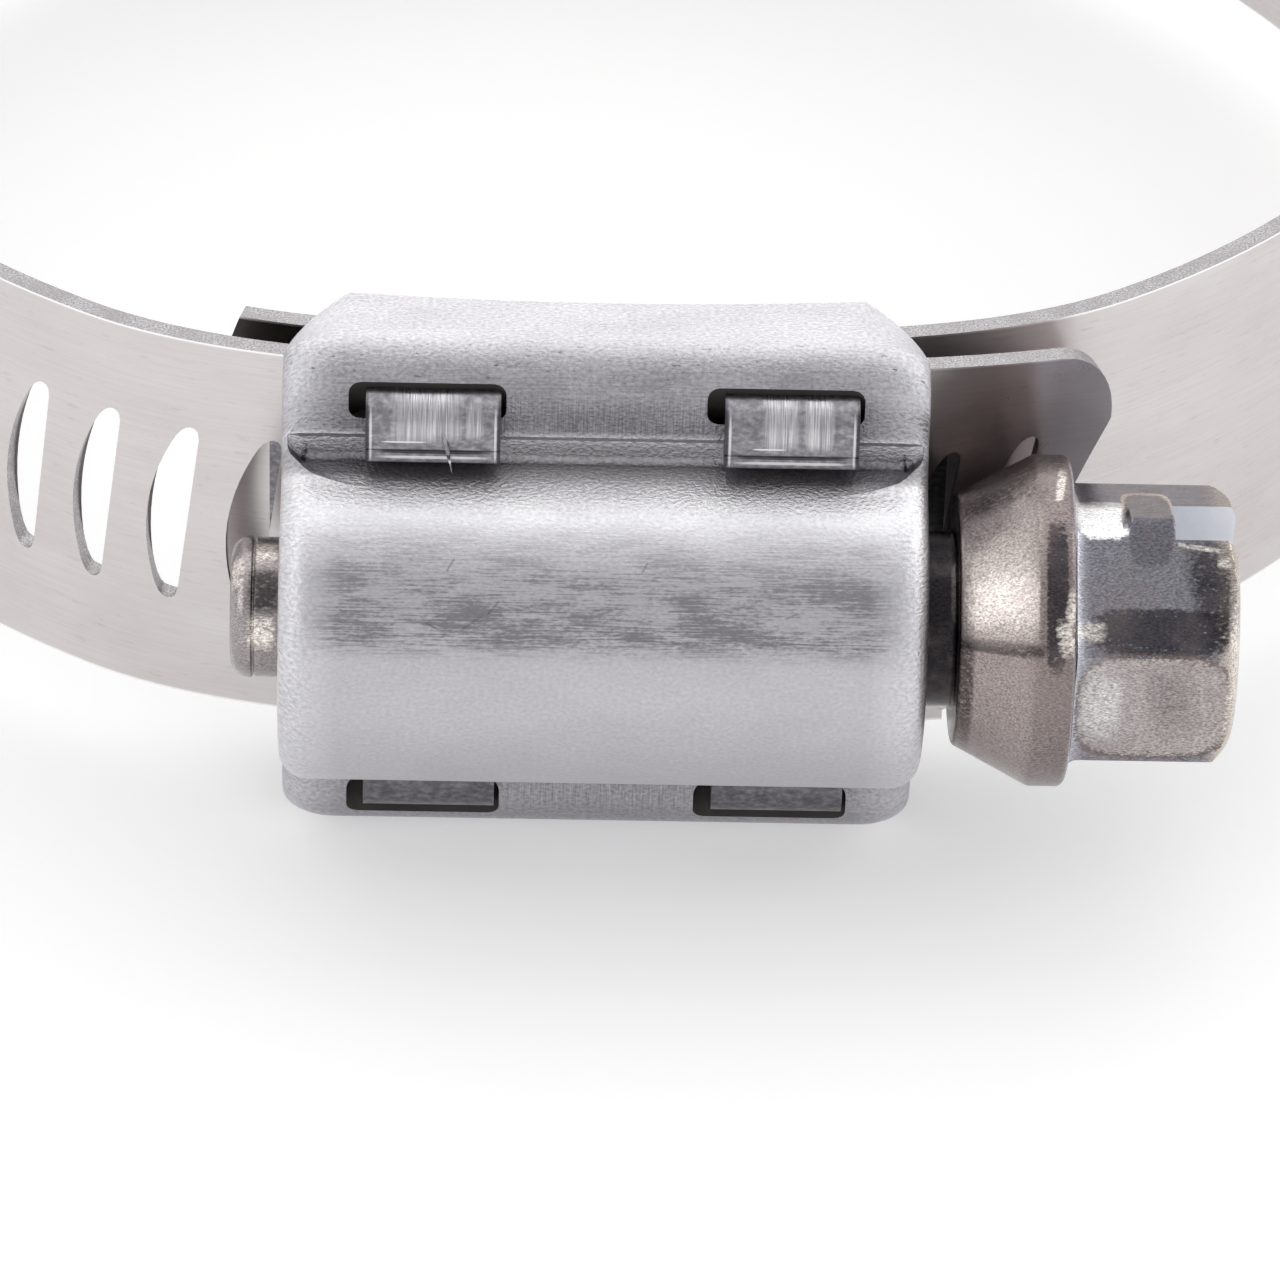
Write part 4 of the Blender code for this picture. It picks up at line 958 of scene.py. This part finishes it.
def saddleFinish():
    # Stainless plate, blanked and folded: the folding tool dragged fine bright lines across the lugs (along
    # z) in a few burnished patches and left the rest a duller, pocked grey. The lines are 0.045 mm wide, as
    # fine as shows.
    material, add, shader = newMaterial("foldedStainlessPlate")
    place = add("TexCoord", out=3)
    grain = grainsOf(add, place, dict(
        drag=((0.045, 1.0, 2.6), 4), pock=((0.28, 0.3, 0.16), 5), cloud=((1.6, 2.0, 1.2), 3),
        tooth=((0.09, 0.1, 0.09), 2)))
    dull = add("ValToRGB", {0: grain["pock"]}, [(0.36, "#76747A"), (0.52, "#8E8C91"), (0.68, "#A9A7AB")])
    lined = add("ValToRGB", {0: grain["drag"]}, [(0.34, "#8C8A8F"), (0.5, "#B1AFB3"), (0.64, "#D2D1D4")])

    def onLugs(places):
        # marks by (x, z) and half sizes, deep enough to go through the lugs' fronts
        return marksOf(add, place, [((x, -35.6, z), (halfX, 3, halfZ), 0) for x, z, halfX, halfZ in places])

    burnished = onLugs([
        (-5.9, 7.9, 1.6, 1.1), (5.7, 7.85, 0.8, 1.25), (6.9, 7.8, 0.6, 1.2), (-4.3, 7.7, 0.4, 0.7)])
    ragged = add("Math", {0: grain["cloud"], 1: 0.9, 2: -0.45}, operation="MULTIPLY_ADD")
    ragged = add("Math", {0: burnished, 1: ragged}, operation="ADD")
    worn = add("MapRange", {0: ragged, 1: 0.3, 2: 0.75})
    colour = add("Mix", {0: worn, 6: dull, 7: lined}, out=2, data_type="RGBA")
    scratches = onLugs([(-6.6, 7.05, 0.8, 0.04), (5.3, 7.0, 0.6, 0.04)])
    scratched = add("MapRange", {0: scratches, 1: 0.05, 2: 0.5})

    # along the upper lugs' borders: painted shade on their sides and in the crease, then painted highlights
    # on the arrises beside them and just under the crease
    middles = [saddle["shift"] + side * saddle["lugCentre"] for side in (-1, 1)]
    reach = saddle["lugWidth"] / 2
    crease = saddle["lugOuter"] - saddle["lugLength"] + saddle["creaseHeight"]
    sides, arrises = ([middle + side * (reach - inside) for middle in middles for side in (-1, 1)]
                      for inside in (0.0, 0.17))
    dark = [(x, 7.2, 0.13, 1.3) for x in sides] + [(x, crease, 2.1, 0.07) for x in middles]
    pale = [(x, 7.2, 0.045, 1.0) for x in arrises] + [(x, crease - 0.17, 2.0, 0.06) for x in middles]
    colour = painted(add, colour, [
        (onLugs(dark), 0.05, 0.5, 0.85, "#3F3D42"), (onLugs(pale), 0.05, 0.5, 0.65, "#EDECEE")])
    colour = add("Mix", {0: scratched, 6: colour, 7: "#E4E3E5"}, out=2, data_type="RGBA")

    # the lower pair of lugs is painted darker as a whole: painted shade, as they lie under the dome
    height = add("SeparateXYZ", {0: place}, out=2)
    paintedShadeBelow = add("MapRange", {0: height, 1: -6 * toMetres, 2: -3 * toMetres, 3: 0.6, 4: 1.0})
    colour = add("VectorMath", {0: colour, 1: paintedShadeBelow}, operation="MULTIPLY")
    rough = add("MapRange", {0: worn, 3: 0.4, 4: 0.27})
    relief = reliefOf(add, [
        (grain["drag"], 0.003), (grain["pock"], 0.007), (grain["tooth"], 0.003), (scratched, 0.01)])
    feed(shader, {"Base Color": colour, "Roughness": rough, "Normal": relief})
    return material


def housingFinish():
    # Stainless sheet, pressed and then tumbled: satin all over, an orange peel of 0.16 by 0.12 mm where the
    # sheet was drawn tightest, fine lines along the dome, lines across the flat flange, grey rubbing on the
    # dome's front.
    material, add, shader = newMaterial("tumbledStainlessPressing")
    uv = add("TexCoord", out=2)
    along, around = (add("SeparateXYZ", {0: uv}, out=i) for i in (0, 1))
    grain = grainsOf(add, uv, dict(
        peel=((0.16, 0.12, 1), 3), draw=((1.8, 0.07, 1), 4), cloud=((4.0, 2.0, 1), 4),
        streak=((1.7, 0.06, 1), 6), speck=((0.22, 0.08, 1), 5), smear=((2.6, 0.9, 1), 3),
        across=((0.06, 1.6, 1), 4), pit=((0.34, 0.13, 1), 4)))

    # zones by run from the dome's front, up to zoneEnd each way: their grey, and as alpha how much they were
    # rubbed. The greys are partly the sheet's own tones and partly painted light and shade: lighter as
    # painted highlights on the dome's bright band, the lip and the wall's top, darker as painted shade in the
    # recess, the groove and on the flange
    zoneEnd = 16
    zone = add("Math", {0: around, 1: 1 / (2 * zoneEnd * toMetres), 2: 0.5}, operation="MULTIPLY_ADD")
    zones = [
        (-14.4, "#C9C7CB", 0.0), (-12.6, "#A6A4A9", 0.1), (-10.4, "#98969B", 0.1), (-9.4, "#A5A3A8", 0.0),
        (-8.4, "#C6C4C8", 0.0), (1.7, "#BCBABE", 0.0), (2.35, "#B5B3B8", 1.0), (4.4, "#BBB9BE", 0.8),
        (5.6, "#CFCDD1", 0.35), (6.6, "#E2E1E4", 0.0), (8.0, "#E6E4E6", 0.1), (8.6, "#C6C3C5", 0.2),
        (9.1, "#979496", 0.2), (9.9, "#A9A7AB", 0.1), (10.25, "#EAE9EC", 0.0), (10.6, "#7E7C81", 0.3),
        (11.3, "#8A888D", 0.3), (12.2, "#A19FA4", 0.5), (13.2, "#B1AFB4", 0.3), (14.2, "#DDDBDF", 0.0)]
    stops = [(0.5 + run / (2 * zoneEnd), grey, rubbed) for run, grey, rubbed in zones]
    colour, amount = (add("ValToRGB", {0: zone}, stops, out=i) for i in (0, 1))
    colour = painted(add, colour, [(grain["cloud"], 0.35, 0.65, 0.25, "#AFADB2")])

    # the peel is tightest on shoulder, recess and ends; it is also drawn a little in grey, since its hollows
    # keep dirt. Toward the ends the colour is lighter, and both corners of the recess are darkened as painted
    # shade.
    awayX, awayRun = (add("Math", {0: value}, operation="ABSOLUTE") for value in (along, around))
    drawn = add("MapRange", {0: awayRun, 1: 6.2 * toMetres, 2: 8.0 * toMetres, 3: 0.4, 4: 1.0})
    ends = add("MapRange", {0: awayX, 1: 8.6 * toMetres, 2: 10.2 * toMetres})
    tight = add("Math", {0: drawn, 1: ends}, operation="MAXIMUM")
    peel = add("Math", {0: grain["peel"], 1: 0.5}, operation="SUBTRACT")
    peel = add("Math", {0: peel, 1: tight}, operation="MULTIPLY")
    bright = add("Math", {0: ends, 1: 0.45}, operation="MULTIPLY")
    colour = add("Mix", {0: bright, 6: colour, 7: "#E4E3E7"}, out=2, data_type="RGBA")
    # painted shade in both corners of the recess
    shade = flatMarks(add, uv, [(x, 8.95, 1.9, 0.75, 0) for x in (-9.0, 9.1)])
    colour = painted(add, colour, [(shade, 0.0, 0.7, 0.6, "#68656A")])
    dimpled = add("MapRange", {0: peel, 1: -0.16, 2: 0.16, 3: 0.8, 4: 1.2})
    colour = add("VectorMath", {0: colour, 1: dimpled}, operation="MULTIPLY")

    # rubbing: long streaks and specks, both thicker inside smears and blots, and a few scratches
    smear = add("MapRange", {0: grain["smear"], 1: 0.3, 2: 0.7, 3: -0.1, 4: 0.1})
    blots = flatMarks(add, uv, [
        (-8.6, 2.9, 1.5, 0.7, -14), (2.9, 3.3, 0.9, 0.8, 30), (2.0, 2.6, 1.5, 0.5, -10),
        (-4.6, 3.2, 1.9, 0.7, 15), (7.6, 4.4, 1.2, 1.0, 0), (-1.6, 2.8, 2.4, 0.5, 4),
        (5.4, 2.7, 2.2, 0.5, -5), (-8.3, 4.3, 1.0, 0.8, 0)])
    scratch = flatMarks(add, uv, [
        (-5.0, 4.9, 0.3, 0.05, 60), (-4.3, 3.0, 0.5, 0.05, 35), (-3.6, 3.5, 0.35, 0.05, 50),
        (1.3, 4.9, 0.25, 0.04, 62), (-5.6, 2.9, 0.35, 0.04, -30), (6.1, 3.4, 0.3, 0.04, 24)])
    both = smear
    for pattern, weight in ((grain["streak"], 0.6), (grain["speck"], 0.4), (blots, 0.065)):
        both = add("Math", {0: pattern, 1: weight, 2: both}, operation="MULTIPLY_ADD")
    darker = add("MapRange", {0: both, 1: 0.45, 2: 0.59, 4: 0.7})
    inside = add("MapRange", {0: awayX, 1: 8.6 * toMetres, 2: 9.8 * toMetres, 3: 1.0, 4: 0.0})
    for share in (amount, inside):
        darker = add("Math", {0: darker, 1: share}, operation="MULTIPLY")
    colour = add("Mix", {0: darker, 6: colour, 7: "#57555A"}, out=2, data_type="RGBA")
    scratched = add("Math", {0: scratch, 1: grain["speck"]}, operation="MULTIPLY")
    colour = painted(add, colour, [(scratched, 0.05, 0.3, 0.4, "#55535A")])

    # flange: lines across it from the blank, between the windows' ends; shoulder: small dark pits
    flat = add("MapRange", {0: awayRun, 1: 10.4 * toMetres, 2: 10.7 * toMetres})
    for away, first, last in ((awayRun, 11.3, 12.3), (awayX, 7.4, 9.4)):
        flat = add("MapRange", {0: away, 1: first * toMetres, 2: last * toMetres, 3: flat, 4: 0.0})
    lines = add("MapRange", {0: grain["across"], 1: 0.34, 2: 0.66, 3: -0.3, 4: 0.3})
    lined = add("Math", {0: lines, 1: flat, 2: 1.0}, operation="MULTIPLY_ADD")
    colour = add("VectorMath", {0: colour, 1: lined}, operation="MULTIPLY")
    pitZone = add("MapRange", {0: awayRun, 1: 12.1 * toMetres, 2: 12.5 * toMetres})
    pitZone = add("MapRange", {0: awayRun, 1: 13.2 * toMetres, 2: 14.4 * toMetres, 3: pitZone, 4: 0.0})
    pits = add("MapRange", {0: grain["pit"], 1: 0.6, 2: 0.72, 4: pitZone})
    colour = add("Mix", {0: pits, 6: colour, 7: "#67656B"}, out=2, data_type="RGBA")

    crossed = add("Math", {0: grain["across"], 1: flat}, operation="MULTIPLY")
    relief = reliefOf(add, [
        (peel, 0.05), (grain["draw"], 0.003), (crossed, 0.006), (pits, -0.02), (darker, -0.006)])
    rough = add("MapRange", {0: grain["cloud"], 1: 0.35, 2: 0.65, 3: 0.3, 4: 0.4})
    feed(shader, {"Base Color": colour, "Roughness": rough, "Normal": relief})
    return material


def screwFinish():
    # Cold-headed steel screw: polished by the dies, so darker and shinier than the sheet, with a straw-brown
    # heat tint on cone and tip, fine bright grains where it was struck, and a colder grey on the hexagon
    material, add, shader = newMaterial("coldHeadedScrewSteel")
    place = add("TexCoord", out=3)
    along, depth, height = (add("SeparateXYZ", {0: place}, out=i) for i in range(3))
    grain = grainsOf(add, place, dict(
        struck=((0.11, 0.05, 0.05), 5), tint=((2.2, 2.2, 2.2), 3), dent=((0.8, 0.5, 0.5), 4),
        smooth=((0.6, 0.1, 0.1), 3), fleck=((0.2, 0.11, 0.11), 4)))
    zoneStart, zoneEnd = -13, 21
    zone = add("MapRange", {0: along, 1: zoneStart * toMetres, 2: zoneEnd * toMetres})
    # the greys along x; the near-black neck between the housing's end and the collar is painted shade
    zones = [
        (-12.3, "#A39D9E"), (-10.0, "#857E7E"), (9.0, "#222023"), (11.6, "#2B292B"), (11.75, "#B3A6A0"),
        (12.0, "#988D8B"), (13.9, "#9D9290"), (14.15, "#877D7B"), (15.3, "#807675"), (15.42, "#C0C1CB"),
        (15.9, "#87868E"), (19.9, "#838289"), (20.4, "#B9AFA6")]
    stops = [((x - zoneStart) / (zoneEnd - zoneStart), grey) for x, grey in zones]
    colour = add("ValToRGB", {0: zone}, stops)

    # a place on the surface is x along, and round it the arc in mm from the front, upward positive, at
    # arcRadius
    arcRadius = 4.6
    front = add("Math", {0: screwY * toMetres, 1: depth}, operation="SUBTRACT")
    arc = add("Math", {0: height, 1: front}, operation="ARCTAN2")
    arc = add("Math", {0: arc, 1: arcRadius * toMetres}, operation="MULTIPLY")
    wrapped = add("CombineXYZ", {0: along, 1: arc})
    ragged = add("Math", {0: grain["fleck"], 1: 4.0, 2: -2.0}, operation="MULTIPLY_ADD")

    # marks as (x, arc), half sizes and turn, later ones over earlier: painted shade and dark reflections on
    # collar, rim, tip and hexagon, the pale flat in its brown outline, and painted highlights, reflections
    # and glints on collar, rim, hexagon and tip. Their borders are made ragged by the flecks, mark * (1 +
    # flecks).
    for marks, tone, first, last in (
            ([(12.9, 8.6, 1.7, 3.2, 0), (11.9, 2.0, 0.3, 7.5, 0)], "#3F3937", 0.0, 0.9),
            ([(-11.1, 3.9, 0.6, 1.7, 0), (12.9, 1.9, 1.8, 0.26, 0)], "#262428", 0.0, 0.7),
            ([(18.2, 2.44, 2.5, 0.9, 0), (14.75, 3.5, 0.4, 2.4, 0)], "#2F2D33", 0.1, 0.35),
            ([(20.0, 3.9, 0.9, 2.1, 14)], "#2F2D33", 0.0, 0.8),
            ([(18.1, -0.68, 2.75, 2.6, 0)], "#6E625C", 0.1, 0.16),
            ([(18.1, -0.68, 2.62, 2.45, 0), (18.0, -3.6, 2.6, 0.4, 0)], "#B0A9A8", 0.1, 0.18),
            ([(18.7, -0.3, 1.0, 2.2, 8)], "#7C7473", 0.0, 1.5),
            ([(16.4, -0.5, 0.8, 2.2, 0)], "#DCDADC", 0.0, 1.4),
            ([(12.9, 4.3, 1.5, 2.6, 0)], "#CBC2BD", 0.0, 0.9),
            ([(16.4, 7.1, 1.0, 1.5, 0)], "#FFFFFF", 0.12, 0.2),
            ([(17.9, 8.2, 0.86, 1.75, 0)], "#E6DAC4", 0.04, 0.1),
            ([(17.9, 7.2, 0.8, 2.6, 0)], "#6B6A72", 0.06, 0.2),
            ([(15.05, 2.3, 0.4, 0.7, 12), (15.2, 3.1, 0.25, 0.7, -10), (20.75, 1.0, 0.4, 4.6, 0),
              (19.5, 5.5, 1.1, 0.12, -8), (14.95, 7.2, 0.2, 1.1, -8), (-11.2, 0.9, 0.6, 1.6, 0),
              (-11.1, 6.9, 0.5, 1.3, 0), (-12.0, 5.2, 0.3, 1.6, 0), (20.3, 5.0, 0.3, 0.3, 0),
              (15.9, 2.4, 0.7, 0.45, 0)], "#F0E8E0", 0.3, 1.1)):
        spread = flatMarks(add, wrapped, marks)
        spread = add("Math", {0: ragged, 1: spread, 2: spread}, operation="MULTIPLY_ADD")
        colour = painted(add, colour, [(spread, first, last, 0.85, tone)])
    fine = add("MapRange", {0: grain["struck"], 1: 0.34, 2: 0.66, 3: 0.55, 4: 1.5})
    colour = add("VectorMath", {0: colour, 1: fine}, operation="MULTIPLY")
    colour = painted(add, colour, [(grain["tint"], 0.45, 0.7, 0.35, "#887B78")])
    rough = add("MapRange", {0: grain["dent"], 1: 0.3, 2: 0.7, 3: 0.16, 4: 0.3})
    relief = reliefOf(add, [(grain["dent"], 0.02), (grain["struck"], 0.005), (grain["smooth"], 0.003)])
    feed(shader, {"Base Color": colour, "Roughness": rough, "Normal": relief})
    return material


def plainFinish(name, grains, low, high, rough):
    # one metal, cloudy between two tones, with lines along x drawn by the tool
    material, add, shader = newMaterial(name)
    grain = grainsOf(add, add("TexCoord", out=3), grains)
    colour = add("Mix", {0: grain["cloud"], 6: low, 7: high}, out=2, data_type="RGBA")
    relief = reliefOf(add, [(grain["lines"], 0.004)])
    feed(shader, {"Base Color": colour, "Roughness": rough, "Normal": relief})
    return material


# the pressing's inside and its cut walls are painted dark, as painted shade for the inside of the housing and
# its windows, and dull; the driver slot's walls, sheared by the punch, are rougher than the struck outside
# and painted very pale, as a painted reflection of the lit floor in the slot's shade
insideSteel = plainFinish(
    "housingInsidePaintedShade", dict(cloud=((2, 2, 2), 3), lines=((2, 0.1, 0.1), 2)), "#454340", "#656260", 0.85)
slotSteel = plainFinish(
    "punchedSlotSteel", dict(cloud=((0.8, 0.8, 0.8), 3), lines=((1.5, 0.1, 0.1), 3)), "#DCDEE4", "#F4F5F8",
    0.55)
bandSteel, cutSteel, saddleSteel = bandFinish(), cutFinish(), saddleFinish()
housingSteel, screwSteel = housingFinish(), screwFinish()
print("finishes ready")

buildBand([bandSteel, cutSteel])
buildSaddle([saddleSteel])
buildHousing([housingSteel, insideSteel])
buildScrew([screwSteel, slotSteel])


# studio

studio = dict(
    floorGap=0.4, floorSize=2.4, floorGlow=0.34, ambient=0.75, cardSize=(0.5, 0.34), cardElevation=47.0,
    cardDistance=0.36, cardGlow=0.78,
    lamps=(("back softbox", (0.0, 0.34, 0.5), 0.8, 1.0), ("left softbox", (-0.5, -0.25, 0.3), 0.3, 0.3),
           ("right softbox", (0.5, 0.1, 0.3), 0.3, 0.3)))


def seenDirectly(add):
    # 1 for camera, glossy and transmission rays, which see the white background; 0 for light that is
    # scattered
    seen = add("LightPath", out="Is Camera Ray")
    for ray in ("Is Glossy Ray", "Is Transmission Ray"):
        seen = add("Math", {0: seen, 1: add("LightPath", out=ray)}, operation="MAXIMUM")
    return seen


def facing(item, place):
    # puts an object at a place in metres and turns its -z toward the screw
    item.location = place
    toScrew = Vector((0.0, screwY * toMetres, 0.0)) - Vector(place)
    item.rotation_euler = toScrew.to_track_quat("-Z", "Y").to_euler()
    bpy.context.scene.collection.objects.link(item)


def flatCard(name, width, depth, material):
    # a rectangle that faces up, sizes in metres
    w, d = width / 2, depth / 2
    mesh = bpy.data.meshes.new(name)
    mesh.from_pydata([(-w, -d, 0), (w, -d, 0), (w, d, 0), (-w, d, 0)], [], [(0, 1, 2, 3)])
    mesh.materials.append(material)
    return bpy.data.objects.new(name, mesh)


def makeStudio(s):
    scene = bpy.context.scene
    scene.view_settings.view_transform = "Standard"
    scene.world = world = bpy.data.worlds.new("studio")
    world.use_nodes = True
    world.node_tree.nodes.clear()
    add = partial(addNode, world.node_tree)
    ambient = add("Background", {"Color": (1, 1, 1, 1), "Strength": s["ambient"]})
    white = add("Background", {"Color": (1, 1, 1, 1), "Strength": 1.0})
    mixed = add("MixShader", {0: seenDirectly(add), 1: ambient, 2: white})
    output = world.node_tree.nodes.new("ShaderNodeOutputWorld")
    feed(output, {"Surface": mixed})

    # pale floor: plain white paint, and seen directly it glows a little so that its lit part is white
    paint, add, shader = newMaterial("matteWhitePaint", 0.0)
    glow = add("Math", {0: seenDirectly(add), 1: s["floorGlow"]}, operation="MULTIPLY")
    feed(shader, {"Base Color": "#E8E8E8", "Roughness": 0.9, "Specular IOR Level": 0.0,
                  "Emission Color": "#FFFFFF", "Emission Strength": glow})
    floor = flatCard("floor", s["floorSize"], s["floorSize"], paint)
    for corner in floor.data.vertices:
        corner.co.z = cadLow[2] - s["floorGap"] * toMetres
    scene.collection.objects.link(floor)

    # grey card over the camera, seen only in reflections, as the unlit side of a studio is
    felt, add, shader = newMaterial("greyFelt", 0.0)
    feed(shader, {"Base Color": "#000000", "Specular IOR Level": 0.0, "Emission Color": "#FFFFFF",
                  "Emission Strength": s["cardGlow"]})
    card = flatCard("grey card", *s["cardSize"], felt)
    tilt = math.radians(s["cardElevation"])
    facing(card, (0.0, screwY * toMetres - s["cardDistance"] * math.cos(tilt),
                  s["cardDistance"] * math.sin(tilt)))
    for ray in ("camera", "diffuse", "transmission", "volume_scatter", "shadow"):
        setattr(card, "visible_" + ray, False)
    for name, place, size, energy in s["lamps"]:
        lamp = bpy.data.lights.new(name, "AREA")
        lamp.shape, lamp.size, lamp.energy = "SQUARE", size, energy
        facing(bpy.data.objects.new(name, lamp), place)


makeStudio(studio)
print("studio set")
